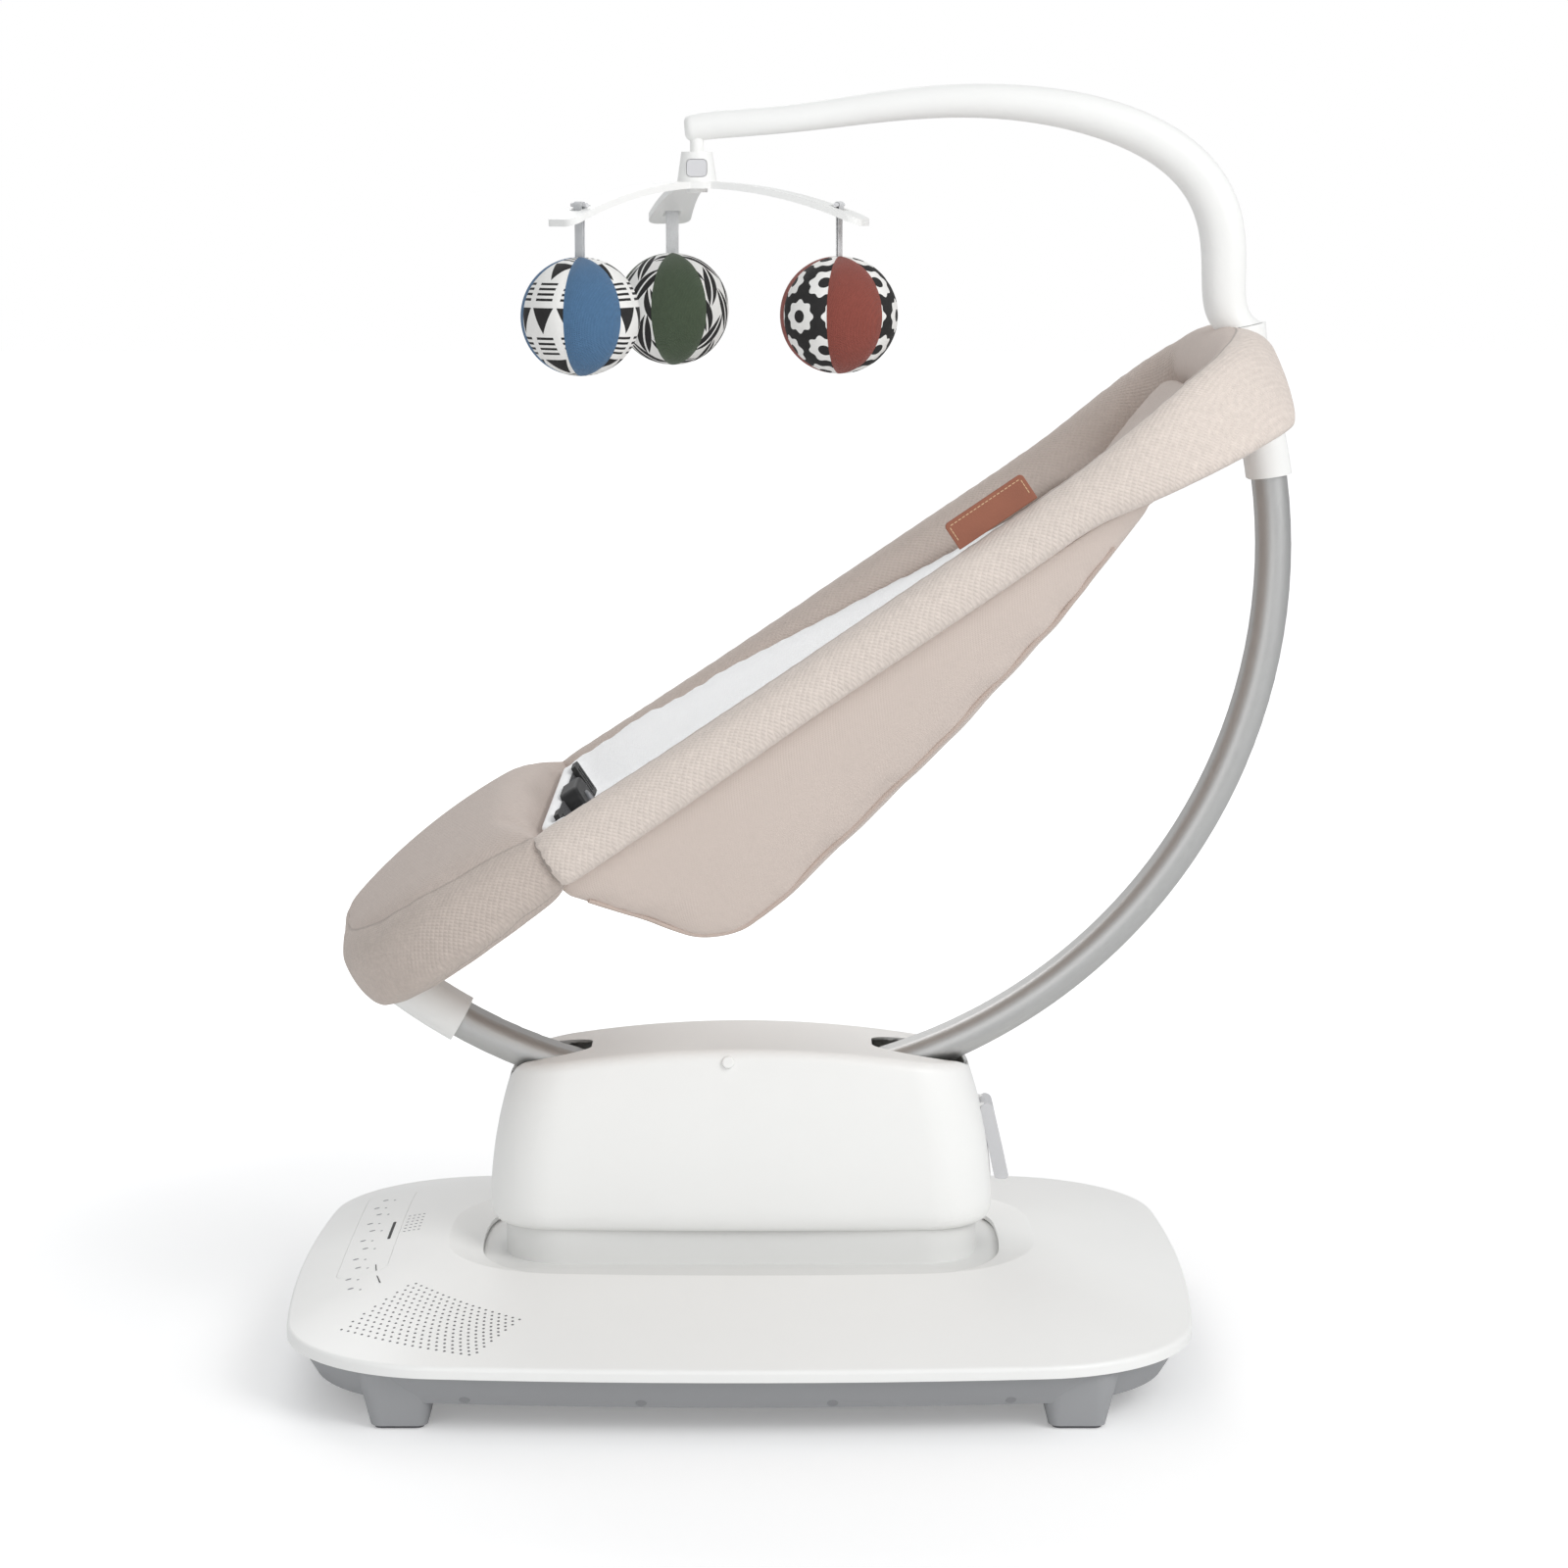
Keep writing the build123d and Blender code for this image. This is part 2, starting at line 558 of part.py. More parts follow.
RACK_BACK = 6.0
SWAY_RACK_LENGTH = 2 * SWAY + 30
LIFT_GEAR_X = 10.0
LIFT_GEAR_Z = 85.0
LIFT_RACK_BOTTOM = LIFT_GEAR_Z - LIFT - 8
BUSH_Y = 55.0
BUSH_LENGTH = 30.0
BUSH_WALL = 3.0
LIFT_RACK_X = LIFT_GEAR_X + GEAR_PITCH
with BuildPart() as carriage:
    with BuildSketch(base_plane(PLATE_BOTTOM)):
        RectangleRounded(2 * ROD_X + 60, SKIRT_WIDTH + 40, 12)
        with Locations((LIFT_RACK_X + 3, 0)):
            Rectangle(20, GEAR_FACE + 8, mode=Mode.SUBTRACT)
    extrude(amount=PLATE_TOP - PLATE_BOTTOM)
    with BuildSketch(base_plane(ROD_Z - 10)):
        with GridLocations(2 * ROD_X, 2 * BUSH_Y, 2, 2):
            RectangleRounded(26, BUSH_LENGTH, 3)
    extrude(amount=PLATE_BOTTOM - ROD_Z + 10)
    with BuildSketch(base_plane(PLATE_TOP)):
        with GridLocations(2 * COLUMN_X, 2 * COLUMN_Y, 2, 2):
            Circle(COLUMN_DIAMETER / 2 + 4)
    extrude(amount=14)
    with BuildSketch(base_plane(PLATE_TOP)):
        with GridLocations(2 * COLUMN_X, 2 * COLUMN_Y, 2, 2):
            Circle(COLUMN_DIAMETER / 2 + RUN)
    extrude(amount=20, mode=Mode.SUBTRACT)
    with BuildSketch(Plane.XZ.offset(-90)):
        with Locations((BASE_X - ROD_X, ROD_Z), (BASE_X + ROD_X, ROD_Z)):
            Circle(ROD_DIAMETER / 2 + BUSH_WALL + RUN)
    extrude(amount=180, mode=Mode.SUBTRACT)
finish(carriage.part, "carriage")

with BuildPart() as rod_bushes:
    for side in (-1, 1):
        with BuildSketch(Plane.XZ.offset(-side * BUSH_Y - BUSH_LENGTH / 2)):
            with Locations((BASE_X - ROD_X, ROD_Z), (BASE_X + ROD_X, ROD_Z)):
                Circle(ROD_DIAMETER / 2 + BUSH_WALL)
                Circle(ROD_DIAMETER / 2 + RUN, mode=Mode.SUBTRACT)
        extrude(amount=BUSH_LENGTH)
finish(rod_bushes.part, "rod_bushes")

with BuildPart() as sway_rack:
    with BuildSketch(base_plane(SWAY_GEAR_Z).move(Location((SWAY_GEAR_X + GEAR_PITCH, 0, 0)))):
        add(rack_face(SWAY_RACK_LENGTH, RACK_BACK))
    extrude(amount=GEAR_FACE)
    with BuildSketch(base_plane(SWAY_GEAR_Z + GEAR_FACE)):
        with Locations((SWAY_GEAR_X + GEAR_PITCH + 1.25 * GEAR_MODULE + RACK_BACK / 2, 0)):
            Rectangle(RACK_BACK, SWAY_RACK_LENGTH)
    extrude(amount=PLATE_BOTTOM - SWAY_GEAR_Z - GEAR_FACE)
finish(sway_rack.part, "sway_rack")

with BuildPart() as guide_columns:
    with BuildSketch(base_plane(PLATE_TOP)):
        with GridLocations(2 * COLUMN_X, 2 * COLUMN_Y, 2, 2):
            Circle(COLUMN_DIAMETER / 2)
    extrude(amount=COLUMN_TOP - PLATE_TOP)
finish(guide_columns.part, "guide_columns")

SKIRT_SLOPE_Y = SKIRT_WIDTH / 2 + 10
with BuildPart() as sliding_skirt:
    with BuildSketch(Plane.YZ.offset(BASE_X - SHUTTER_LENGTH / 2)):
        with BuildLine():
            Polyline(
                (-SHUTTER_REACH, SHUTTER_TOP - SHUTTER_DROP),
                (-SKIRT_SLOPE_Y, SHUTTER_TOP),
                (SKIRT_SLOPE_Y, SHUTTER_TOP),
                (SHUTTER_REACH, SHUTTER_TOP - SHUTTER_DROP),
                (SHUTTER_REACH, SHUTTER_TOP - SHUTTER_DROP - SKIRT_WALL),
                (SKIRT_SLOPE_Y, SHUTTER_TOP - SKIRT_WALL),
                (-SKIRT_SLOPE_Y, SHUTTER_TOP - SKIRT_WALL),
                (-SHUTTER_REACH, SHUTTER_TOP - SHUTTER_DROP - SKIRT_WALL),
                close=True,
            )
        make_face()
    extrude(amount=SHUTTER_LENGTH)
    with BuildSketch(base_plane(PLATE_TOP - 10)):
        RectangleRounded(SHUTTER_LENGTH, 2 * SHUTTER_REACH, 80)
    extrude(amount=40, mode=Mode.INTERSECT)
    with BuildSketch(base_plane(PLATE_TOP)):
        RectangleRounded(SKIRT_FOOT, SKIRT_WIDTH, SKIRT_FOOT_CORNER)
    extrude(amount=SHUTTER_TOP - PLATE_TOP)
    with BuildSketch(base_plane(SHUTTER_TOP - SKIRT_WALL)):
        RectangleRounded(SKIRT_LENGTH, SKIRT_WIDTH, SKIRT_CORNER)
    extrude(amount=SKIRT_TOP - SHUTTER_TOP + SKIRT_WALL)
    with BuildSketch(base_plane(PLATE_TOP)):
        RectangleRounded(SKIRT_FOOT - 2 * SKIRT_WALL, SKIRT_WIDTH - 2 * SKIRT_WALL, SKIRT_FOOT_CORNER - 2)
    extrude(amount=SHUTTER_TOP - PLATE_TOP, mode=Mode.SUBTRACT)
    with BuildSketch(base_plane(SHUTTER_TOP)):
        RectangleRounded(SKIRT_LENGTH - 2 * SKIRT_WALL, SKIRT_WIDTH - 2 * SKIRT_WALL, SKIRT_CORNER - SKIRT_WALL)
    extrude(amount=SKIRT_TOP, mode=Mode.SUBTRACT)
finish(sliding_skirt.part, "sliding_skirt")

BRACKET_Y = GEAR_FACE / 2 + 2.5
lift_gear_plane = Plane(origin=(BASE_X + LIFT_GEAR_X, 0, LIFT_GEAR_Z), x_dir=(1, 0, 0), z_dir=(0, -1, 0))
with BuildPart() as lift_motor:
    with BuildSketch(base_plane(PLATE_TOP)):
        with Locations((LIFT_GEAR_X - 2, BRACKET_Y + 3.5)):
            Rectangle(36, 7)
    extrude(amount=LIFT_GEAR_Z + 16 - PLATE_TOP)
    with BuildSketch(lift_gear_plane.offset(-BRACKET_Y - 7)):
        Circle(16)
    extrude(amount=-34)
    with BuildSketch(lift_gear_plane.offset(-BRACKET_Y)):
        Circle(GEAR_SHAFT / 2 + RUN)
    extrude(amount=-9, mode=Mode.SUBTRACT)
finish(lift_motor.part, "lift_motor")

with BuildPart() as lift_gear:
    with BuildSketch(lift_gear_plane.offset(-GEAR_FACE / 2)):
        add(gear_face(0))
    extrude(amount=GEAR_FACE)
    with BuildSketch(lift_gear_plane.offset(-GEAR_FACE / 2)):
        Circle(GEAR_SHAFT / 2)
    extrude(amount=-9)
finish(lift_gear.part, "lift_gear")

# Tower housing, open below, with the two rail holes and the hinge ears of the lock lever

LEVER_X = BASE_X + HOUSING_LENGTH / 2 - 3.9
LEVER_Z = 158.0
LEVER_PIN = 3.0
EAR_Y = 10.0
EAR_THICK = 4.0
BRAKE_Z = 146.0
BRAKE_ARM = (8.0, 7.0)
HOLE_GROW = 7.0


def housing_outline(inset, draw_x, draw_y):
    """Level outline of the tower, drawn in at each end and side."""
    return bowed(
        HOUSING_LENGTH - 2 * inset - 2 * draw_x,
        HOUSING_WIDTH - 2 * inset - 2 * draw_y,
        8,
        5,
        HOUSING_CORNER - inset - draw_y / 2,
    )


HOUSING_CAP = HOUSING_CROWN + 6
with BuildPart() as housing_core:
    with BuildSketch(base_plane(HOUSING_BOTTOM)):
        add(housing_outline(HOUSING_WALL, 0, 0))
    with BuildSketch(base_plane(HOUSING_MID)):
        add(housing_outline(HOUSING_WALL, HOUSING_MID_DRAW, HOUSING_MID_DRAW - 1))
    with BuildSketch(base_plane(HOUSING_CAP)):
        add(housing_outline(HOUSING_WALL, HOUSING_TOP_DRAW + 6, HOUSING_TOP_DRAW_Y + 3))
    loft()
    with BuildSketch(Plane.XZ.offset(-HOUSING_WIDTH)):
        with Locations((BASE_X, HOUSING_CROWN - HOUSING_WALL - CROWN_RADIUS)):
            Circle(CROWN_RADIUS)
    extrude(amount=2 * HOUSING_WIDTH, mode=Mode.INTERSECT)

with BuildPart() as tower_housing:
    with BuildSketch(base_plane(HOUSING_BOTTOM)):
        add(housing_outline(0, 0, 0))
    with BuildSketch(base_plane(HOUSING_MID)):
        add(housing_outline(0, HOUSING_MID_DRAW, HOUSING_MID_DRAW - 1))
    with BuildSketch(base_plane(HOUSING_CAP)):
        add(housing_outline(0, HOUSING_TOP_DRAW + 6, HOUSING_TOP_DRAW_Y + 3))
    loft()
    with BuildSketch(Plane.XZ.offset(-HOUSING_WIDTH)):
        with Locations((BASE_X, HOUSING_CROWN - CROWN_RADIUS)):
            Circle(CROWN_RADIUS)
    extrude(amount=2 * HOUSING_WIDTH, mode=Mode.INTERSECT)
    fillet(tower_housing.faces().sort_by(Axis.Z)[-1].edges(), CROWN_FILLET)
    outer_housing = tower_housing.part
    for side in (-1, 1):
        with BuildSketch(Plane.XZ.offset(-side * (EAR_Y + EAR_THICK / 2) - EAR_THICK / 2)):
            with Locations((LEVER_X, LEVER_Z)):
                Circle(4.2)
            with Locations((LEVER_X - 5, LEVER_Z)):
                Rectangle(10, 8.4)
        extrude(amount=EAR_THICK)
    add(housing_core.part, mode=Mode.SUBTRACT)
    with BuildSketch(Plane.XZ.offset(-30)):
        with Locations((LEVER_X, LEVER_Z)):
            Circle(LEVER_PIN / 2 + RUN)
    extrude(amount=60, mode=Mode.SUBTRACT)
    with BuildSketch(Plane.YZ.offset(BASE_X + HOUSING_LENGTH / 2 - 20)):
        with Locations((0, BRAKE_Z)):
            Rectangle(BRAKE_ARM[0] + 1, BRAKE_ARM[1] + 1)
    extrude(amount=40, mode=Mode.SUBTRACT)
    with BuildSketch(rail_plane(-124)):
        add(rail_oval(HOLE_GROW))
    revolve(axis=rail_axis, revolution_arc=22, mode=Mode.SUBTRACT)
    with BuildSketch(rail_plane(-78)):
        add(rail_oval(HOLE_GROW))
    revolve(axis=rail_axis, revolution_arc=22, mode=Mode.SUBTRACT)
    with BuildSketch(base_plane(HOUSING_MID)):
        with GridLocations(HOUSING_LENGTH - 64, HOUSING_WIDTH - 54, 2, 2):
            Circle(5)
    boss = extrude(amount=HOUSING_CAP - HOUSING_MID, mode=Mode.PRIVATE)
    add(boss & outer_housing)
finish(tower_housing.part, "tower_housing")

# Tower chassis: two plates joined by walls, with seats for the rail saddles

LOWER_PLATE = (104.0, 110.0)
UPPER_PLATE = (136.0, 140.0)
SADDLE_WALL = 9.0
SADDLE_CAP = 4.5
SADDLE_ANGLE = 10.0
SADDLE_SPAN = 8.0
COLUMN_BUSH_WALL = 3.0
COLUMN_BUSH = (92.0, 122.0)
PLATE_CLEAR = (5.0, 3.0)  # from the upper plate to the housing's wall, at the ends and the sides
PLATE_PLAY = (13.5, 3.5)  # from the lower plate to the skirt's wall, at the ends and the sides
housing_side = HOUSING_WALL + HOUSING_MID_DRAW
saddle_x = RAIL_RADIUS * math.sin(math.radians(SADDLE_ANGLE))
with BuildPart() as tower_chassis:
    with BuildSketch(base_plane(LOWER_PLATE[0])):
        RectangleRounded(
            SKIRT_LENGTH - 2 * SKIRT_WALL - 2 * PLATE_PLAY[0],
            SKIRT_WIDTH - 2 * SKIRT_WALL - 2 * PLATE_PLAY[1],
            18,
        )
    extrude(amount=LOWER_PLATE[1] - LOWER_PLATE[0])
    with BuildSketch(base_plane(LOWER_PLATE[1])):
        with Locations((-70, 0), (60, 0)):
            Rectangle(6, 84)
    extrude(amount=UPPER_PLATE[0] - LOWER_PLATE[1])
    with BuildSketch(base_plane(UPPER_PLATE[0])):
        RectangleRounded(
            HOUSING_LENGTH - 2 * housing_side - 2 * PLATE_CLEAR[0],
            HOUSING_WIDTH - 2 * housing_side - 2 * PLATE_CLEAR[1],
            40,
        )
    extrude(amount=UPPER_PLATE[1] - UPPER_PLATE[0])
    with BuildSketch(base_plane(UPPER_PLATE[1])):
        with Locations((RAIL_OFFSET - saddle_x, 0), (RAIL_OFFSET + saddle_x, 0)):
            Rectangle(44, 48)
    extrude(amount=RAIL_Z - RAIL_RADIUS - 4 - UPPER_PLATE[1])
    with BuildSketch(rail_plane(-112)):
        Rectangle(RAIL_THICK + 2 * SADDLE_WALL, RAIL_WIDTH + 2 * SADDLE_WALL + 4)
    revolve(axis=rail_axis, revolution_arc=44, mode=Mode.SUBTRACT)
    with BuildSketch(base_plane(LOWER_PLATE[0])):
        with GridLocations(2 * COLUMN_X, 2 * COLUMN_Y, 2, 2):
            Circle(COLUMN_DIAMETER / 2 + COLUMN_BUSH_WALL + RUN)
    extrude(amount=LOWER_PLATE[1] - LOWER_PLATE[0], mode=Mode.SUBTRACT)
    with BuildSketch(base_plane(UPPER_PLATE[0])):
        with GridLocations(2 * COLUMN_X, 2 * COLUMN_Y, 2, 2):
            Circle(COLUMN_DIAMETER / 2 + 4)
    extrude(amount=UPPER_PLATE[1] - UPPER_PLATE[0], mode=Mode.SUBTRACT)
finish(tower_chassis.part, "tower_chassis")

with BuildPart() as column_bushes:
    with BuildSketch(base_plane(COLUMN_BUSH[0])):
        with GridLocations(2 * COLUMN_X, 2 * COLUMN_Y, 2, 2):
            Circle(COLUMN_DIAMETER / 2 + COLUMN_BUSH_WALL)
            Circle(COLUMN_DIAMETER / 2 + RUN, mode=Mode.SUBTRACT)
    extrude(amount=COLUMN_BUSH[1] - COLUMN_BUSH[0])
    with BuildSketch(base_plane(LOWER_PLATE[1])):
        with GridLocations(2 * COLUMN_X, 2 * COLUMN_Y, 2, 2):
            Circle(COLUMN_DIAMETER / 2 + COLUMN_BUSH_WALL + 1.5)
            Circle(COLUMN_DIAMETER / 2 + RUN, mode=Mode.SUBTRACT)
    extrude(amount=2)
finish(column_bushes.part, "column_bushes")

with BuildPart() as lift_rack:
    with BuildSketch(
        Plane(
            origin=(BASE_X + LIFT_RACK_X, 0, LIFT_GEAR_Z),
            x_dir=(1, 0, 0),
            z_dir=(0, -1, 0),
        ).offset(-GEAR_FACE / 2)
    ):
        add(rack_face(2 * (LIFT_GEAR_Z - LIFT_RACK_BOTTOM), RACK_BACK))
    extrude(amount=GEAR_FACE)
    with BuildSketch(base_plane(LOWER_PLATE[0])):
        Rectangle(HOUSING_LENGTH, HOUSING_WIDTH)
    extrude(amount=200, mode=Mode.SUBTRACT)
finish(lift_rack.part, "lift_rack")

with BuildPart() as rail_saddles:
    for start in (-90 - SADDLE_ANGLE - SADDLE_SPAN / 2, -90 + SADDLE_ANGLE - SADDLE_SPAN / 2):
        with BuildSketch(rail_plane(start)):
            with Locations(((SADDLE_WALL - SADDLE_CAP) / 2, 0)):
                RectangleRounded(RAIL_THICK + SADDLE_WALL + SADDLE_CAP, RAIL_WIDTH + 2 * SADDLE_WALL, 6)
            add(rail_oval(SEAT_GAP), mode=Mode.SUBTRACT)
        revolve(axis=rail_axis, revolution_arc=SADDLE_SPAN)
finish(rail_saddles.part, "rail_saddles")

# Recline lock: lever, its pin, and the brake shoe that it presses under the rail

SHOE_X = (RAIL_X + 101.5, RAIL_X + 121.5)
SHOE_WIDTH = 12.0
SHOE_WALL = 3.5
SHOE_PAD = 7.0  # thickness of the pad that meets the rail
SHOE_FOOT = UPPER_PLATE[1] + 0.2
with BuildPart() as brake_shoe:
    with BuildSketch(Plane.XZ.offset(-SHOE_WIDTH / 2)):
        with Locations(((SHOE_X[0] + SHOE_X[1]) / 2, SHOE_FOOT + 30)):
            Rectangle(SHOE_X[1] - SHOE_X[0], 60)
        with Locations((RAIL_X, RAIL_Z)):
            Circle(RAIL_RADIUS + RAIL_THICK / 2 + SEAT_GAP, mode=Mode.SUBTRACT)
        with BuildSketch(mode=Mode.PRIVATE) as window:
            with Locations(((SHOE_X[0] + SHOE_X[1]) / 2, SHOE_FOOT + 30)):
                Rectangle(SHOE_X[1] - SHOE_X[0] - 2 * SHOE_WALL, 60)
            with Locations((RAIL_X, RAIL_Z)):
                Circle(RAIL_RADIUS + RAIL_THICK / 2 + SHOE_PAD, mode=Mode.SUBTRACT)
            with Locations(((SHOE_X[0] + SHOE_X[1]) / 2, BRAKE_Z)):
                Rectangle(SHOE_X[1] - SHOE_X[0], 2 * (BRAKE_Z + BRAKE_ARM[1] / 2 - SHOE_FOOT), mode=Mode.SUBTRACT)
        add(window.sketch_local, mode=Mode.SUBTRACT)
    extrude(amount=SHOE_WIDTH)
    with BuildSketch(Plane.XZ.offset(-BRAKE_ARM[0] / 2)):
        with Locations(((SHOE_X[0] + LEVER_X + 1) / 2, BRAKE_Z)):
            Rectangle(LEVER_X + 1 - SHOE_X[0], BRAKE_ARM[1])
    extrude(amount=BRAKE_ARM[0])
finish(brake_shoe.part, "brake_shoe")

with BuildPart() as lever_pin:
    with BuildSketch(Plane.XZ.offset(-EAR_Y - EAR_THICK - 1)):
        with Locations((LEVER_X, LEVER_Z)):
            Circle(LEVER_PIN / 2)
    extrude(amount=2 * (EAR_Y + EAR_THICK + 1))
finish(lever_pin.part, "lever_pin")

LEVER_FOOT_Z = 107.0
LEVER_WIDTH = 30.0
with BuildPart() as recline_lever:
    with BuildSketch(Plane.XZ.offset(-LEVER_WIDTH / 2)):
        with BuildLine():
            Polyline(
                (LEVER_X + 1.6, LEVER_Z + 2),
                (LEVER_X + 1.6, BRAKE_Z),
                (LEVER_X + 4.2, 132),
                (LEVER_X + 8.6, LEVER_FOOT_Z + 2),
                (LEVER_X + 10, LEVER_FOOT_Z),
                (LEVER_X + 15, LEVER_FOOT_Z),
                (LEVER_X + 16.6, LEVER_FOOT_Z + 3),
                (LEVER_X + 11, 132),
                (LEVER_X + 6, LEVER_Z - 2),
                (LEVER_X + 3.6, LEVER_Z + 2),
                close=True,
            )
        make_face()
        with Locations((LEVER_X, LEVER_Z)):
            Circle(3.2)
    extrude(amount=LEVER_WIDTH)
    with BuildSketch(Plane.XZ.offset(-LEVER_WIDTH)):
        with Locations((LEVER_X, LEVER_Z)):
            Circle(LEVER_PIN / 2 + RUN)
    extrude(amount=2 * LEVER_WIDTH, mode=Mode.SUBTRACT)
    for side in (-1, 1):
        with BuildSketch(Plane.XZ.offset(-side * (EAR_Y + 10 - SEAT_GAP) - 10)):
            with Locations((LEVER_X, LEVER_Z)):
                Circle(7)
        extrude(amount=20, mode=Mode.SUBTRACT)
finish(recline_lever.part, "recline_lever")

# Seat rail and its two hubs

with BuildPart() as arc_rail:
    with BuildSketch(rail_plane(RAIL_FOOT_ANGLE)):
        add(rail_oval(0))
        add(rail_oval(-RAIL_WALL), mode=Mode.SUBTRACT)
    revolve(axis=rail_axis, revolution_arc=RAIL_HEAD_ANGLE - RAIL_FOOT_ANGLE)
finish(arc_rail.part, "arc_rail")

TUBE_INSET = RIM_THICK / 2
frame_plane = seat_plane.offset(-FRAME_DEPTH)
with BuildSketch(frame_plane) as frame_sketch:
    add(seat_outline(TUBE_INSET))
frame_path = frame_sketch.sketch.faces()[0].outer_wire()


def frame_torus(radius):
    """Solid of the frame's tube at the given radius, as a closed loop."""
    with BuildPart(mode=Mode.PRIVATE) as loop:
        with BuildSketch(Plane(origin=frame_path @ 0, z_dir=frame_path % 0)):
            Circle(radius)
        sweep(path=frame_path)
    return loop.part


HUB_GAP = 12.0
frame_solid = frame_torus(FRAME_TUBE / 2)
frame_clear = frame_torus(FRAME_TUBE / 2 + 0.15)
frame_space = frame_torus(FRAME_TUBE / 2 + SEAT_GAP)
with BuildPart() as seat_frame:
    add(frame_solid)
    add(frame_torus(FRAME_TUBE / 2 - FRAME_WALL), mode=Mode.SUBTRACT)
    with BuildSketch(seat_plane.offset(-100)):
        with Locations((SEAT_LENGTH / 2, 0)):
            Rectangle(120, 2 * HUB_GAP)
    extrude(amount=150, mode=Mode.SUBTRACT)
finish(seat_frame.part, "seat_frame")

HUB_SOLID = 4.1  # angle of the foot hub past the rail's end, up to its cradle for the frame tube
SLEEVE_LEDGE = 0.5  # step from the sleeve to the tapered socket
arm_lean = math.radians(ARM_LEAN)
arm_axis = Vector(-math.sin(arm_lean), 0, math.cos(arm_lean))
arm_plane = Plane(origin=(ARM_BASE_X, 0, ARM_BASE_Z), x_dir=(math.cos(arm_lean), 0, math.sin(arm_lean)), z_dir=arm_axis)


def foot_hub_form(grow):
    """Outer form of the foot hub."""
    with BuildPart(mode=Mode.PRIVATE) as form:
        with BuildSketch(rail_plane(FOOT_SLEEVE_ANGLE)):
            add(rail_oval(SLEEVE_WALL + grow))
        revolve(axis=rail_axis, revolution_arc=RAIL_FOOT_ANGLE - FOOT_SLEEVE_ANGLE - HUB_SOLID - grow / 6)
    return form.part


def head_hub_form(grow):
    """Outer form of the head hub, from the rail sleeve up to the socket of the toy arm."""
    with BuildPart(mode=Mode.PRIVATE) as form:
        with BuildSketch(rail_plane(HEAD_SLEEVE_ANGLE)):
            add(rail_oval(SLEEVE_WALL + grow))
        revolve(axis=rail_axis, revolution_arc=17 - HEAD_SLEEVE_ANGLE)
        with BuildSketch(rail_plane(17)):
            Ellipse(RAIL_THICK / 2 + SLEEVE_WALL + grow - SLEEVE_LEDGE, RAIL_WIDTH / 2 + SLEEVE_WALL + grow - SLEEVE_LEDGE)
        with BuildSketch(arm_plane.offset(-SEAT_GAP + grow)):
            Ellipse(ARM_BASE[1] / 2 + 2 + grow, ARM_BASE[0] / 2 + 5 + grow)
        loft()
    return form.part


with BuildPart() as foot_hub:
    add(foot_hub_form(0))
    with BuildSketch(rail_plane(FOOT_SLEEVE_ANGLE + 1)):
        add(rail_oval(0.15))
    revolve(axis=rail_axis, revolution_arc=RAIL_FOOT_ANGLE - FOOT_SLEEVE_ANGLE - 1.05, mode=Mode.SUBTRACT)
    add(frame_clear, mode=Mode.SUBTRACT)
finish(foot_hub.part, "foot_hub")

with BuildPart() as tube_ends:
    add(frame_clear)
    with BuildSketch(seat_plane.offset(-100)):
        with Locations((SEAT_LENGTH / 2, 0)):
            Rectangle(120, 2 * HUB_GAP - 0.3)
    extrude(amount=150, mode=Mode.SUBTRACT)

with BuildPart() as head_hub:
    add(head_hub_form(0))
    with BuildSketch(rail_plane(HEAD_SLEEVE_ANGLE - 1)):
        add(rail_oval(0.15))
    revolve(axis=rail_axis, revolution_arc=RAIL_HEAD_ANGLE - HEAD_SLEEVE_ANGLE + 1.05, mode=Mode.SUBTRACT)
    with BuildSketch(arm_plane):
        Circle(PLUG_DIAMETER / 2 + RUN)
    extrude(amount=-PLUG_LENGTH - 1, mode=Mode.SUBTRACT)
    add(tube_ends.part, mode=Mode.SUBTRACT)
finish(head_hub.part, "head_hub")

# Padded rim and foot cover over the frame

head_space = head_hub_form(SEAT_GAP)
foot_space = foot_hub_form(SEAT_GAP)
HALF = SEAT_LENGTH / 2
RIM_FILLET = 15.0
WIDE = SEAT_WIDTH  # reach of cuts that go right across the seat
seat_axis = Axis(seat_plane.origin, seat_plane.z_dir)


def across(points):
    """Prism of a side-view outline, right across the seat."""
    with BuildPart(mode=Mode.PRIVATE) as prism:
        with BuildSketch(side_plane.offset(-WIDE)):
            with BuildLine():
                Polyline(*points, close=True)
            make_face()
        extrude(amount=2 * WIDE)
    return prism.part


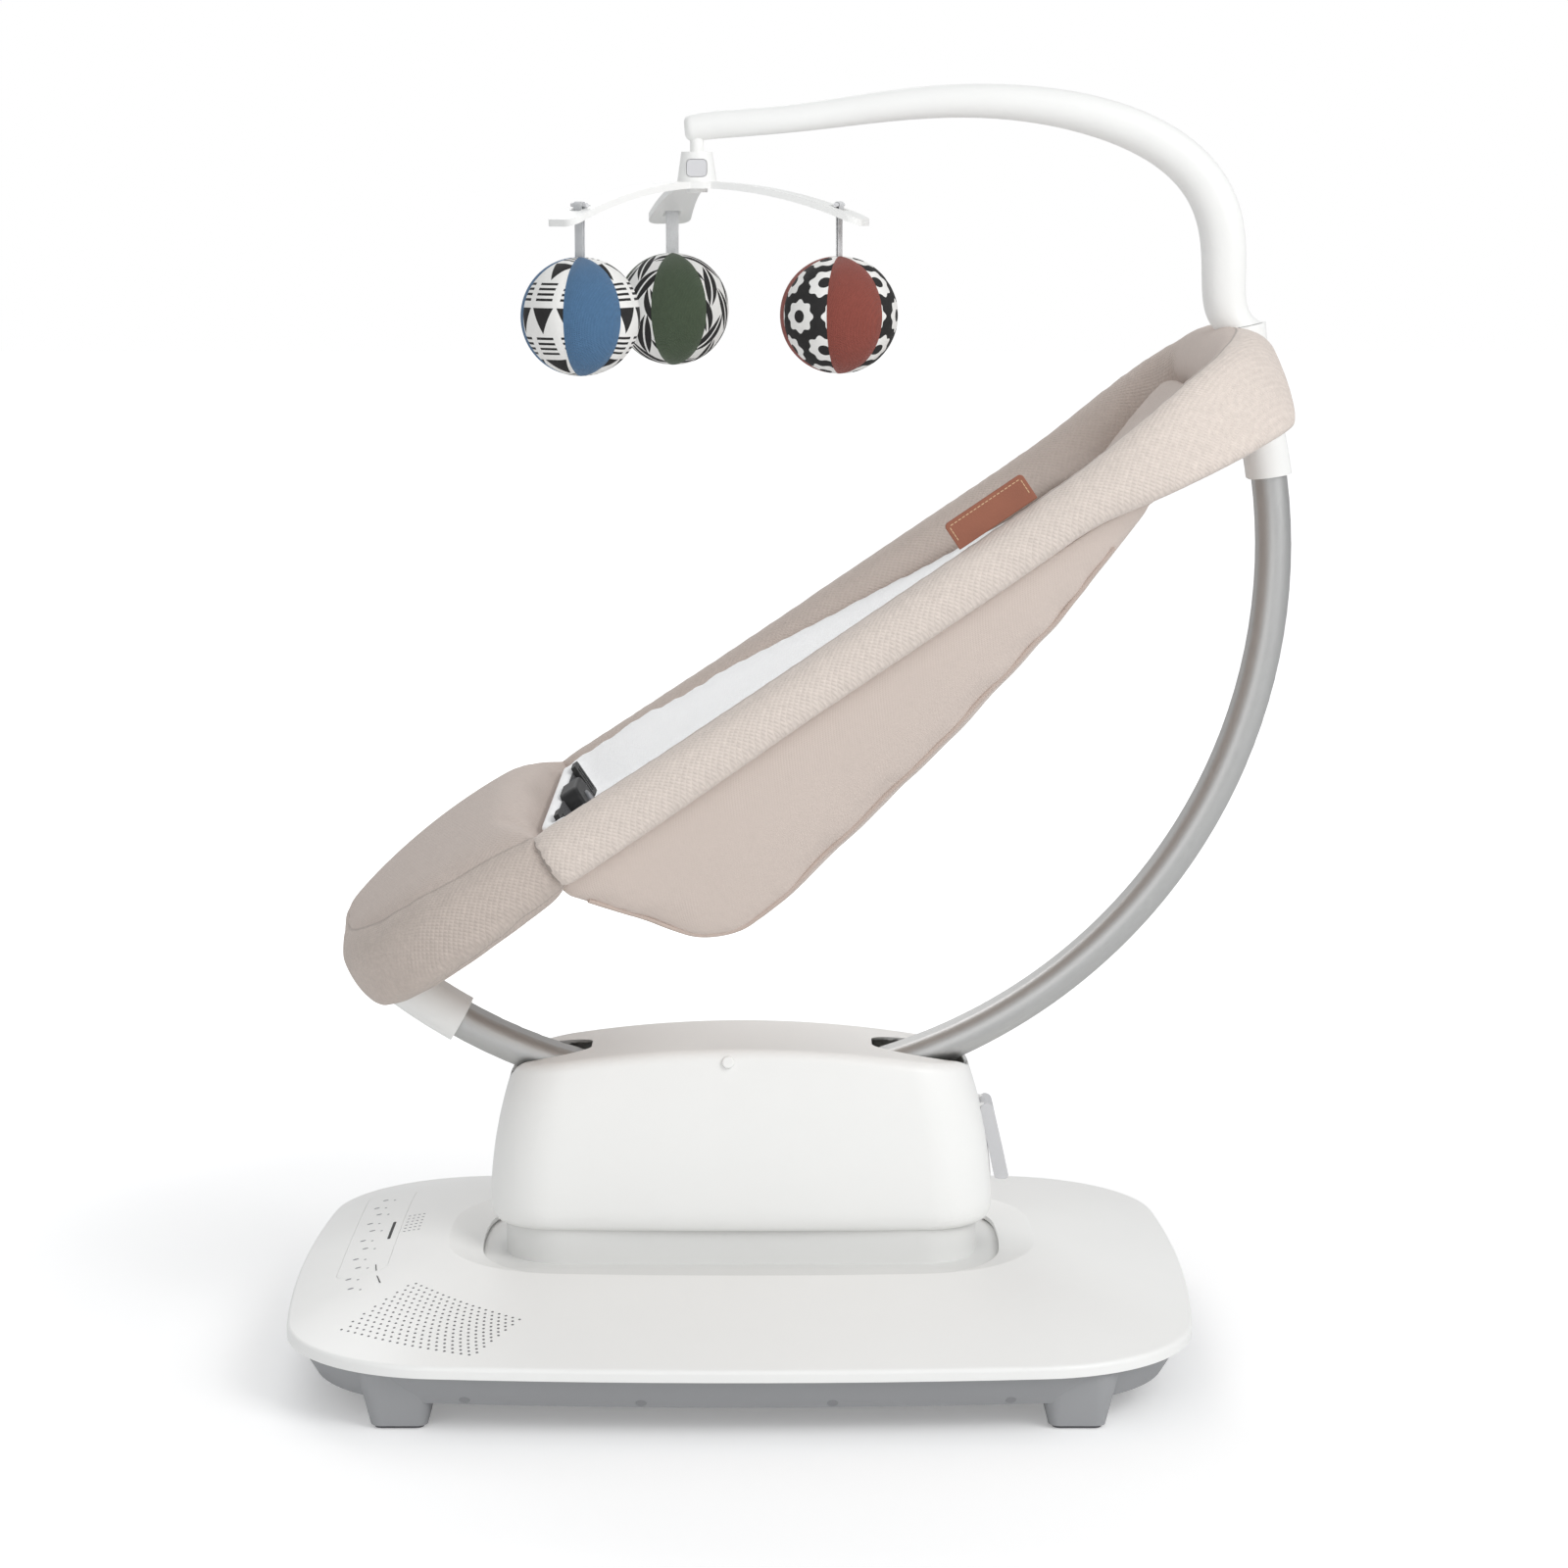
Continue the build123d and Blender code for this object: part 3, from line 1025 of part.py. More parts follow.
below_rim = [
    (-HALF - 50, -RIM_DEPTH),
    (RIM_SLOPE_START, -RIM_DEPTH),
    (HALF + 8, -RIM_HEAD_DEPTH - 1),
    (HALF + 50, -RIM_HEAD_DEPTH - 90),
    (-HALF - 50, -RIM_HEAD_DEPTH - 90),
]
head_top = [(HALF - 30, 20), (HALF - 30, 0), (HALF, -20), (HALF + 60, -20), (HALF + 60, 20)]
head_foot = [(HALF, -20), (HALF - 15, -54), (HALF - 42, -90), (HALF + 60, -90), (HALF + 60, -20)]
foot_side = [(-HALF - 60, 20), (OPENING_EDGE, 20), (OPENING_EDGE, -120), (-HALF - 60, -120)]
with BuildPart() as rim_cover:
    with BuildSketch(seat_plane):
        add(seat_outline(0))
    extrude(amount=-RIM_HEAD_DEPTH)
    with BuildSketch(seat_plane):
        add(seat_opening(RIM_THICK, 34))
    extrude(amount=-RIM_HEAD_DEPTH, mode=Mode.SUBTRACT)
    fillet(rim_cover.edges().group_by(seat_axis)[-1], RIM_FILLET)
    add(across(below_rim), mode=Mode.SUBTRACT)
    add(across(head_top), mode=Mode.SUBTRACT)
    add(across(head_foot), mode=Mode.SUBTRACT)
    add(across(foot_side), mode=Mode.SUBTRACT)
    add(frame_space, mode=Mode.SUBTRACT)
    add(head_space, mode=Mode.SUBTRACT)
finish(rim_cover.part, "rim_cover")

beyond_foot = [
    (OPENING_EDGE - SEAT_GAP, 40),
    (OPENING_EDGE - SEAT_GAP, -RIM_DEPTH),
    (-HALF - 5, -FOOT_DEPTH),
    (-HALF - 5, -2 * FOOT_DEPTH),
    (HALF + 60, -2 * FOOT_DEPTH),
    (HALF + 60, 40),
]
# The cover's top is a barrel: an arc along the seat, turned about a level line far below
crown_s = FOOT_CROWN_BACK - HALF
crown_long = (FOOT_CROWN_BACK**2 + FOOT_CROWN**2) / (2 * FOOT_CROWN)
crown_start = -HALF - 5
crown_end = OPENING_EDGE + 40


def crown_height(s):
    """Rise of the crown's arc over the rim, along the seat."""
    return FOOT_CROWN - crown_long + math.sqrt(crown_long**2 - (s - crown_s) ** 2)


crown_edge = crown_height(OPENING_EDGE)
crown_side = SEAT_WIDTH / 2 - RIM_FILLET
crown_axis = crown_edge - (crown_side**2 + crown_edge**2) / (2 * crown_edge)
crown_plane = Plane(origin=seat_plane.origin, x_dir=seat_plane.x_dir, z_dir=(0, -1, 0))
crown_line = Axis(crown_plane.from_local_coords((0, crown_axis, 0)), seat_plane.x_dir)
with BuildPart() as crown:
    with BuildSketch(crown_plane):
        with BuildLine():
            ThreePointArc(
                (crown_start, crown_height(crown_start)),
                (crown_s, FOOT_CROWN),
                (crown_end, crown_height(crown_end)),
            )
            Polyline(
                (crown_end, crown_height(crown_end)),
                (crown_end, crown_axis),
                (crown_start, crown_axis),
                (crown_start, crown_height(crown_start)),
            )
        make_face()
    revolve(axis=crown_line)
with BuildPart() as foot_cover:
    with BuildSketch(seat_plane.offset(2 * FOOT_CROWN)):
        add(seat_outline(0))
    extrude(amount=-FOOT_DEPTH - 2 * FOOT_CROWN)
    add(crown.part, mode=Mode.INTERSECT)
    fillet(foot_cover.faces().sort_by(seat_axis)[-1].edges(), RIM_FILLET)
    add(across(beyond_foot), mode=Mode.SUBTRACT)
    add(frame_space, mode=Mode.SUBTRACT)
    add(foot_space, mode=Mode.SUBTRACT)
finish(foot_cover.part, "foot_cover")

# Cloth bucket under the rim, and the padded liner inside it

BUCKET_TOP_Y = 158.0  # half width where it meets the rim
BUCKET_FOOT_Y = 114.0  # half width at the bottom
BUCKET_BOTTOM = 136.0
BUCKET_WALL = 2.5
BUCKET_FOOT_S = -204.0
BUCKET_HEAD_S = 246.0
LINER_WALL = 12.0
LINER_DEPTH = 10.0  # of its top edge below the rim


def bucket_form(inset, fillet_radius):
    """Sling form of the seat well, drawn in all round, open at the rim's underside."""
    d = inset
    slope = (BUCKET_TOP_Y - BUCKET_FOOT_Y) / (BUCKET_BOTTOM - RIM_DEPTH)
    lean = math.hypot(1, slope)
    with BuildPart(mode=Mode.PRIVATE) as form:
        with BuildSketch(side_plane.offset(-WIDE)):
            with BuildLine():
                Polyline(
                    (BUCKET_HEAD_S - 3 * d, -RIM_DEPTH - 5),
                    (BUCKET_HEAD_S - 3 * d, -RIM_DEPTH + 6),
                    (BUCKET_FOOT_S + 1.2 * d, -RIM_DEPTH + 6),
                    (BUCKET_FOOT_S + 1.2 * d, -RIM_DEPTH),
                    (-150 + 0.6 * d, -128 + 0.8 * d),
                    (-126 + 0.2 * d, -BUCKET_BOTTOM + d),
                    (-90, -BUCKET_BOTTOM + 1 + d),
                )
                ThreePointArc(
                    (-90, -BUCKET_BOTTOM + 1 + d),
                    (60 - 0.2 * d, -105.5 + d),
                    (BUCKET_HEAD_S - 3 * d, -RIM_DEPTH - 5),
                )
            make_face()
        extrude(amount=2 * WIDE)
        top_y = BUCKET_TOP_Y + 6 * slope - d * lean
        low_y = BUCKET_FOOT_Y - 10 * slope - d * lean
        with BuildSketch(Plane(origin=seat_plane.origin, x_dir=(0, 1, 0), z_dir=seat_plane.x_dir).offset(-HALF)):
            with BuildLine():
                Polyline(
                    (-top_y, -RIM_DEPTH + 6),
                    (top_y, -RIM_DEPTH + 6),
                    (low_y, -BUCKET_BOTTOM - 10),
                    (-low_y, -BUCKET_BOTTOM - 10),
                    close=True,
                )
            make_face()
        extrude(amount=2 * HALF, mode=Mode.INTERSECT)
        corner = form.edges().filter_by(lambda e: abs(e.center().Y) > 30 and seat_plane.to_local_coords(e.center()).Z < -RIM_DEPTH + 4)
        fillet(corner, fillet_radius)
    return form.part


above_bucket = [
    (-HALF - 60, 60),
    (-HALF - 60, -RIM_DEPTH - SEAT_GAP - 0.4),
    (RIM_SLOPE_START, -RIM_DEPTH - SEAT_GAP - 0.4),
    (HALF + 8, -RIM_HEAD_DEPTH - 1 - SEAT_GAP - 0.4),
    (HALF + 60, 60),
]
with BuildPart() as seat_bucket:
    add(bucket_form(0, 22))
    add(bucket_form(BUCKET_WALL, 19.4), mode=Mode.SUBTRACT)
    add(across(above_bucket), mode=Mode.SUBTRACT)
finish(seat_bucket.part, "seat_bucket")

LINER_GAP = 0.6
LINER_HEM = 4.8  # of the liner's side wall below the rim
LINER_LINING = 9.5  # thickness of the side wall
head_inner = BUCKET_WALL + LINER_GAP + LINER_WALL
head_end = HALF - RIM_HEAD_THICK - LINER_GAP
# Sloping padded panel that closes the well at the head end
panel_foot = (BUCKET_HEAD_S - 3 * head_inner, -RIM_DEPTH - 5)
panel_top = (head_end - LINER_LINING, -LINER_DEPTH - 4)
below_panel = [panel_foot, panel_top, (HALF, panel_top[1]), (HALF, -RIM_HEAD_DEPTH), (panel_foot[0], -RIM_HEAD_DEPTH)]
under_panel = [
    (BUCKET_HEAD_S, -RIM_DEPTH - LINER_HEM - 0.2),
    (head_end, panel_top[1] - LINER_WALL),
    (HALF, panel_top[1] - LINER_WALL),
    (HALF, -2 * RIM_HEAD_DEPTH),
    (BUCKET_HEAD_S, -2 * RIM_HEAD_DEPTH),
]
with BuildPart() as well_space:
    with BuildSketch(seat_plane.offset(-LINER_DEPTH)) as liner_well:
        add(seat_opening(RIM_THICK + LINER_LINING, 25))
        with Locations(((OPENING_EDGE + LINER_LINING + HALF) / 2, 0)):
            Rectangle(HALF - OPENING_EDGE - LINER_LINING, WIDE, mode=Mode.INTERSECT)
        fillet(liner_well.vertices().group_by(Axis.X)[0], 8)
    extrude(amount=-RIM_DEPTH + LINER_DEPTH - LINER_HEM - 1)
    add(across(below_panel), mode=Mode.SUBTRACT)
with BuildPart() as seat_liner:
    add(bucket_form(BUCKET_WALL + LINER_GAP, 19.4))
    add(bucket_form(BUCKET_WALL + LINER_GAP + LINER_WALL, 14), mode=Mode.SUBTRACT)
    add(across(above_bucket), mode=Mode.SUBTRACT)
    with BuildSketch(seat_plane.offset(-LINER_DEPTH)) as liner_wall:
        add(seat_opening(RIM_THICK + LINER_GAP, 34))
        with Locations(((OPENING_EDGE + LINER_GAP + HALF) / 2, 0)):
            Rectangle(HALF - OPENING_EDGE - LINER_GAP, WIDE, mode=Mode.INTERSECT)
        fillet(liner_wall.vertices().group_by(Axis.X)[0], 14)
    extrude(amount=-RIM_DEPTH + LINER_DEPTH - LINER_HEM)
    add(well_space.part, mode=Mode.SUBTRACT)
    add(across(under_panel), mode=Mode.SUBTRACT)
finish(seat_liner.part, "seat_liner")

# Harness

STRAP_THICK = 1.6
WALL_S = OPENING_EDGE + 10 + SEAT_GAP  # inner face of the liner's foot wall
BUCKLE = (13.0, 58.0, 34.0)  # along the seat, across it, and deep
BUCKLE_TOP = 7.0
BUTTON_DIAMETER = 17.0
BUTTON_TRAVEL = 2.5
buckle_plane = Plane(origin=seat_plane.origin, x_dir=(0, 1, 0), z_dir=seat_plane.x_dir).offset(WALL_S)
with BuildPart() as harness_buckle:
    with BuildSketch(buckle_plane):
        with Locations((0, -BUCKLE_TOP - BUCKLE[2] / 2)):
            RectangleRounded(BUCKLE[1], BUCKLE[2], 9)
    extrude(amount=BUCKLE[0])
    fillet(harness_buckle.faces().sort_by(Axis(seat_plane.origin, seat_plane.x_dir))[-1].edges(), 2.5)
    with BuildSketch(buckle_plane.offset(BUCKLE[0])):
        with Locations((0, -BUCKLE_TOP - BUCKLE[2] / 2)):
            Circle(BUTTON_DIAMETER / 2 + SEAT_GAP)
    extrude(amount=-BUTTON_TRAVEL - 4, mode=Mode.SUBTRACT)
finish(harness_buckle.part, "harness_buckle")

with BuildPart() as buckle_button:
    with BuildSketch(buckle_plane.offset(BUCKLE[0] + 1.5)):
        with Locations((0, -BUCKLE_TOP - BUCKLE[2] / 2)):
            Circle(BUTTON_DIAMETER / 2)
    extrude(amount=-5)
    fillet(buckle_button.faces().sort_by(Axis(seat_plane.origin, seat_plane.x_dir))[-1].edges(), 1.0)
finish(buckle_button.part, "buckle_button")

inner = BUCKET_WALL + LINER_GAP + LINER_WALL
slope_top = (BUCKET_FOOT_S + 1.2 * inner + 4.4, -RIM_DEPTH - 6.0)
slope_end = (-150 + 0.6 * inner + 1.4, -128 + 0.8 * inner + 2.0)
with BuildPart() as crotch_strap:
    with BuildSketch(side_plane.offset(-12.5)):
        with BuildLine():
            Polyline(
                (WALL_S + 2, -BUCKLE_TOP - BUCKLE[2] - SEAT_GAP),
                (slope_top[0] + 1.0, slope_top[1]),
                slope_end,
                (slope_end[0] + STRAP_THICK * 1.2, slope_end[1]),
                (slope_top[0] + 1.0 + STRAP_THICK * 1.2, slope_top[1]),
                (WALL_S + 2 + STRAP_THICK, -BUCKLE_TOP - BUCKLE[2] - SEAT_GAP),
                close=True,
            )
        make_face()
    extrude(amount=25)
finish(crotch_strap.part, "crotch_strap")

STRAP_END_Y = 131.0
STRAP_DROP = 20.0
with BuildPart() as waist_straps:
    with BuildSketch(buckle_plane):
        for side in (-1, 1):
            with Locations((side * (BUCKLE[1] / 2 + SEAT_GAP + STRAP_END_Y) / 2, -STRAP_DROP)):
                Rectangle(STRAP_END_Y - BUCKLE[1] / 2 - SEAT_GAP, 20)
    extrude(amount=STRAP_THICK)
finish(waist_straps.part, "waist_straps")

with BuildPart() as strap_sliders:
    with BuildSketch(buckle_plane.offset(STRAP_THICK + SEAT_GAP)):
        for side in (-1, 1):
            with Locations((side * 104, -STRAP_DROP + 1)):
                RectangleRounded(28, 25, 3)
            with Locations((side * 109, -STRAP_DROP + 1), (side * 99, -STRAP_DROP + 1)):
                Rectangle(4, 18, mode=Mode.SUBTRACT)
    extrude(amount=3.5)
finish(strap_sliders.part, "strap_sliders")

TAG_S = (127.0, 185.0)
TAG_HEIGHT = 13.5
TAG_Y = -168.0
with BuildPart() as side_tag:
    with BuildSketch(side_plane.offset(-TAG_Y - 1)):
        with Locations(((TAG_S[0] + TAG_S[1]) / 2, TAG_HEIGHT / 2 + 0.25)):
            RectangleRounded(TAG_S[1] - TAG_S[0], TAG_HEIGHT, 2)
    extrude(amount=2)
finish(side_tag.part, "side_tag")

# Toy arm

ARM_BENDS = ((-14.0, 65.9), (-59.5, 122.6), (-135.4, 144.0), (-236.4, 142.6), (HUB_X - 8.0 - ARM_BASE_X, 128.1))
PIN_TOP = ARM_BASE_Z + 131.4
with BuildLine() as arm_line:
    here = Vector(ARM_BASE_X, 0, ARM_BASE_Z)
    heading = arm_axis
    for bend_x, bend_z in ARM_BENDS:
        bend = TangentArc(here, (ARM_BASE_X + bend_x, 0, ARM_BASE_Z + bend_z), tangent=heading)
        here = bend @ 1
        heading = bend % 1
arm_path = arm_line.wire()
ARM_TAPER = (1.0, 0.93, 0.85, 0.68, 0.46, 0.3, 0.18, 0.08, 0.0)
with BuildPart() as toy_arm:
    for step, share in enumerate(ARM_TAPER):
        station = step / (len(ARM_TAPER) - 1)
        with BuildSketch(Plane(origin=arm_path @ station, x_dir=(0, 1, 0), z_dir=arm_path % station)):
            Ellipse(
                (ARM_TIP[0] + (ARM_BASE[0] - ARM_TIP[0]) * share) / 2,
                (ARM_TIP[1] + (ARM_BASE[1] - ARM_TIP[1]) * share) / 2,
            )
    loft()
    fillet(toy_arm.faces().sort_by(Axis.X)[0].edges(), 5)
    with BuildSketch(arm_plane):
        Circle(PLUG_DIAMETER / 2)
    extrude(amount=-PLUG_LENGTH)
    with BuildSketch(Plane.XY.offset(PIN_TOP + 0.2)):
        with Locations((HUB_X, 0)):
            Circle(PIN_DIAMETER / 2 + RUN)
    extrude(amount=-115, mode=Mode.SUBTRACT)
finish(toy_arm.part, "toy_arm")

PIN_FLANGE = 2.5
flange_top = SPIDER_TOP - SPIDER_THICK - SEAT_GAP
with BuildPart() as mobile_pin:
    with BuildSketch(Plane.XY.offset(flange_top - PIN_FLANGE)):
        with Locations((HUB_X, 0)):
            Circle(PIN_DIAMETER / 2 + 2.5)
    extrude(amount=PIN_FLANGE)
    with BuildSketch(Plane.XY.offset(flange_top)):
        with Locations((HUB_X, 0)):
            Circle(PIN_DIAMETER / 2)
    extrude(amount=PIN_TOP - flange_top)
finish(mobile_pin.part, "mobile_pin")

# Three-armed mobile

HUB_BOSS = 19.0
CLIP = (13.0, 11.0)
PAD_R = 8.0
BAR_RADIUS = 1.5
ribbon_sway = 1.1 * (BAR_RADIUS + SEAT_GAP + SPIDER_THICK) * math.tan(math.radians(SWING + 5))
RIBBON_SLOT = 2 * (ribbon_sway + RIBBON_THICK)
with BuildPart() as mobile_spider:
    with BuildSketch(Plane.XZ.move(Location((HUB_X, 0, 0)))):
        with BuildLine():
            reach = PADDLE_REACH + 5
            outer_end = SPIDER_TOP - SPIDER_RADIUS + math.sqrt(SPIDER_RADIUS**2 - reach**2)
            half_reach = SPIDER_TOP - SPIDER_RADIUS + math.sqrt(SPIDER_RADIUS**2 - (reach / 2) ** 2)
            boss_foot = SPIDER_TOP - SPIDER_RADIUS + math.sqrt(SPIDER_RADIUS**2 - 13**2)
            bore = PIN_DIAMETER / 2 + RUN
            ThreePointArc((13, boss_foot), (reach / 2, half_reach), (reach, outer_end))
            Line((reach, outer_end), (reach, outer_end - SPIDER_THICK))
            ThreePointArc(
                (reach, outer_end - SPIDER_THICK),
                (reach / 2, half_reach - SPIDER_THICK),
                (bore, SPIDER_TOP - SPIDER_THICK),
            )
            Polyline(
                (bore, SPIDER_TOP - SPIDER_THICK),
                (bore, SPIDER_TOP + HUB_BOSS),
                (10.2, SPIDER_TOP + HUB_BOSS),
                (13, boss_foot),
            )
        make_face()
    revolve(axis=Axis((HUB_X, 0, 0), (0, 0, 1)))
    with BuildSketch(Plane.XY.offset(SPIDER_TOP - 60).move(Location((HUB_X, 0, 0)))):
        Circle(14.5)
        for k in range(3):
            turn = MOBILE_TURN + 120 * k
            with BuildSketch(Plane.XY, mode=Mode.PRIVATE) as paddle:
                with Locations((10, 0)):
                    Circle(PADDLE_NECK / 2)
                with Locations(
                    (PADDLE_REACH - PAD_R, PADDLE_WIDTH / 2 - PAD_R),
                    (PADDLE_REACH - PAD_R, PAD_R - PADDLE_WIDTH / 2),
                ):
                    Circle(PAD_R)
                make_hull()
                with Locations((RIBBON_REACH, 0)):
                    Rectangle(RIBBON_SLOT, RIBBON_WIDTH + 3, mode=Mode.SUBTRACT)
            add(paddle.sketch_local, rotation=turn)
    extrude(amount=80, mode=Mode.INTERSECT)
    with BuildSketch(Plane.XZ):
        with Locations((HUB_X, SPIDER_TOP + 8.5)):
            RectangleRounded(CLIP[0] + 2 * SEAT_GAP, CLIP[1] + 2 * SEAT_GAP, 3)
    extrude(amount=20, mode=Mode.SUBTRACT)
finish(mobile_spider.part, "mobile_spider")

with BuildPart() as hub_clip:
    with BuildSketch(Plane.XZ.offset(SEAT_GAP)):
        with Locations((HUB_X, SPIDER_TOP + 8.5)):
            RectangleRounded(*CLIP, 2.7)
    extrude(amount=11)
    with BuildSketch(Plane.XY.offset(SPIDER_TOP)):
        with Locations((HUB_X, 0)):
            Circle(PIN_DIAMETER / 2 + SEAT_GAP)
    extrude(amount=30, mode=Mode.SUBTRACT)
finish(hub_clip.part, "hub_clip")

# Ribbons and stuffed balls

paddle_rise = math.sqrt(SPIDER_RADIUS**2 - RIBBON_REACH**2)
RIBBON_Z = SPIDER_TOP - SPIDER_RADIUS + paddle_rise + (BAR_RADIUS + SEAT_GAP) * SPIDER_RADIUS / paddle_rise
BALL_Z = RIBBON_Z - BALL_DROP
print("ribbon pivot height", RIBBON_Z)
for k, colour in enumerate(("red", "green", "blue")):
    a = math.radians(MOBILE_TURN + 120 * k)
    hang = Plane(
        origin=(HUB_X + RIBBON_REACH * math.cos(a), RIBBON_REACH * math.sin(a), RIBBON_Z),
        x_dir=(math.cos(a), math.sin(a), 0),
        z_dir=(0, 0, 1),
    )
    print(colour, "pivot", [round(v, 3) for v in hang.origin], "axis", [round(v, 5) for v in hang.y_dir])
    with BuildPart() as ribbon:
        with BuildSketch(Plane(origin=hang.origin, x_dir=hang.x_dir, z_dir=hang.y_dir).offset(-8)):
            Circle(BAR_RADIUS)
        extrude(amount=16)
        with BuildSketch(hang):
            Rectangle(RIBBON_THICK, RIBBON_WIDTH)
        extrude(amount=-BALL_DROP + BALL_DIAMETER / 2 + 0.2)
    finish(ribbon.part, "ribbon_" + colour)
    with BuildPart() as ball:
        with Locations(hang.offset(-BALL_DROP)):
            Sphere(BALL_DIAMETER / 2)
    finish(ball.part, "ball_" + colour)
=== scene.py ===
# %% [markdown]
# # A powered baby swing
#
# The swing stands on a domed white base. A tower on it sways and bounces, and a curved metal rail through the
# tower carries a padded seat. A thin white arm over the seat holds a mobile with three stuffed balls. The
# rigid pieces come ready-made as the frame, so this lesson gives them their finishes, makes every soft piece
# (rim, foot cover, sling, liner, straps, balls), and adds the small details that a moulding or a seam has.

# %% Load the frame
import bpy
import bmesh
import json
import math
import numpy as np
from functools import partial
from mathutils import Matrix, Vector
from mathutils.bvhtree import BVHTree


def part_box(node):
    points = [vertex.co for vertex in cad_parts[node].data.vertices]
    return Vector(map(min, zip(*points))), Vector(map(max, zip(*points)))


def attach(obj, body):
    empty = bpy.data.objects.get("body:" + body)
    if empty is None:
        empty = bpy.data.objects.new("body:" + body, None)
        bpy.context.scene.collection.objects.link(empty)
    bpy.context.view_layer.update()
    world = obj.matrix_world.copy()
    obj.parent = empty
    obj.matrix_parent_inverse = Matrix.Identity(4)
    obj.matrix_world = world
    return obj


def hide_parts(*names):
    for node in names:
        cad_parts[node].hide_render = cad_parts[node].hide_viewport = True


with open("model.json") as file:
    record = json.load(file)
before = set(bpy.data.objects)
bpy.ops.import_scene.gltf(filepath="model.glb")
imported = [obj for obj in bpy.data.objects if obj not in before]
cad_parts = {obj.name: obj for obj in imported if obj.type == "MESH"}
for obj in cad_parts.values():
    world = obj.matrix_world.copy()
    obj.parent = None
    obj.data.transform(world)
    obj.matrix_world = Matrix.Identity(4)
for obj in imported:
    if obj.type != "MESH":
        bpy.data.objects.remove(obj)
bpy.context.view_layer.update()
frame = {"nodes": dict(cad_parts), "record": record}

# %% [markdown]
# ## Small helpers
#
# A node setup in Python is mostly three steps: make a node, set its properties, and fill its sockets with a
# value or a link. `add` does all three from one line, where an underscore in a name stands for a space.
# `sums` is one step of arithmetic. `link_mesh` turns a finished bmesh into an object.

# %% Helpers


def put(tree, socket, value):
    """Sets a socket to a plain value, or links another socket to it."""
    if isinstance(value, bpy.types.NodeSocket):
        tree.links.new(value, socket)
    else:
        socket.default_value = value


def fill(tree, node, **values):
    """Fills sockets of a node by name."""
    for key, value in values.items():
        put(tree, node.inputs[key.replace("_", " ")], value)


def add(tree, kind, **settings):
    """New node, with its properties and its sockets by name."""
    node = tree.nodes.new("ShaderNode" + kind)
    for key, value in settings.items():
        if hasattr(node, key):
            setattr(node, key, value)
        else:
            fill(tree, node, **{key: value})
    return node


def sums(tree, operation, *values):
    """One step of arithmetic on sockets or plain numbers."""
    node = add(tree, "Math", operation=operation)
    for socket, value in zip(node.inputs, values):
        put(tree, socket, value)
    return node.outputs[0]


def start(name):
    """New material: the material, its tree and its shader."""
    material = bpy.data.materials.new(name)
    material.use_nodes = True
    return material, material.node_tree, material.node_tree.nodes["Principled BSDF"]


def link(name, data):
    """New object in the scene."""
    obj = bpy.data.objects.new(name, data)
    bpy.context.collection.objects.link(obj)
    return obj


def link_mesh(bm, name):
    """New object from a finished bmesh."""
    mesh = bpy.data.meshes.new(name)
    bm.to_mesh(mesh)
    bm.free()
    return link(name, mesh)


def coat(obj, *materials):
    """Gives an object its materials, in order."""
    for material in materials:
        obj.data.materials.append(material)


def modify(obj, kind, **settings):
    """Adds a modifier and sets it up."""
    modifier = obj.modifiers.new(kind.lower(), kind)
    for key, value in settings.items():
        setattr(modifier, key, value)
    return modifier


print("helpers ready")

# %% [markdown]
# ## Camera
#
# The photograph was taken with a long lens from a little above, square to the side of the seat. A 90 mm lens
# on a 36 mm sensor at 2.6 m gives that mild perspective, and 8.7 degrees down shows just enough of the base's
# top.

# %% Camera
PITCH = math.radians(8.683)
AIM = Vector((-0.0035, 0.0, 0.3784))
REACH = 2.6288
lens = bpy.data.cameras.new("camera")
lens.lens = 90
lens.sensor_width = 36
lens.clip_end = 60
camera = link("camera", lens)
camera.location = AIM + REACH * Vector((0, -math.cos(PITCH), math.sin(PITCH)))
camera.rotation_euler = (math.pi / 2 - PITCH, 0, 0)
bpy.context.scene.camera = camera
print("camera at", tuple(round(v, 3) for v in camera.location))

# %% [markdown]
# ## Studio
#
# A white sweep with soft light from the front and the right. The world is white to the camera and a little
# dimmer as a lamp, so pale plastic keeps its shading. The floor is an ordinary pale surface that adds a touch
# of its own glow for the camera, more of it further from the swing, so it reaches white and still keeps the
# swing's shadow.

# %% Studio
DAYLIGHT = (0.97, 0.985, 1.0, 1)
PURE_WHITE = (1, 1, 1, 1)
WORLD_LIGHT = 0.56
GLOW_FROM, GLOW_TO = 0.45, 1.5  # metres from the middle of the floor
NEAR_GLOW, FAR_GLOW = 0.26, 0.62
FLOOR_DROP = 0.0002
LAMPS = {  # place, aim, size, watts
    "key": ((2.1, -2.1, 2.3), (0, 0, 0.35), 1.8, 52),
    "front": ((-1.0, -3.2, 1.2), (0, 0, 0.4), 2.0, 15),
    "back": ((-0.8, 2.2, 2.2), (0, 0, 0.5), 1.6, 20),
}
bpy.context.scene.view_settings.view_transform = "Standard"
world = bpy.data.worlds.new("studio")
bpy.context.scene.world = world
world.use_nodes = True
sky = world.node_tree
sky.nodes.clear()
ray = add(sky, "LightPath").outputs
direct = sums(sky, "MAXIMUM", ray["Is Camera Ray"], ray["Is Transmission Ray"])
glow = add(sky, "Background", Color=DAYLIGHT, Strength=WORLD_LIGHT)
white = add(sky, "Background", Color=PURE_WHITE, Strength=1.0)
pick = add(sky, "MixShader")
for socket, source in zip(pick.inputs, (direct, glow.outputs[0], white.outputs[0])):
    put(sky, socket, source)
add(sky, "OutputWorld", Surface=pick.outputs[0])

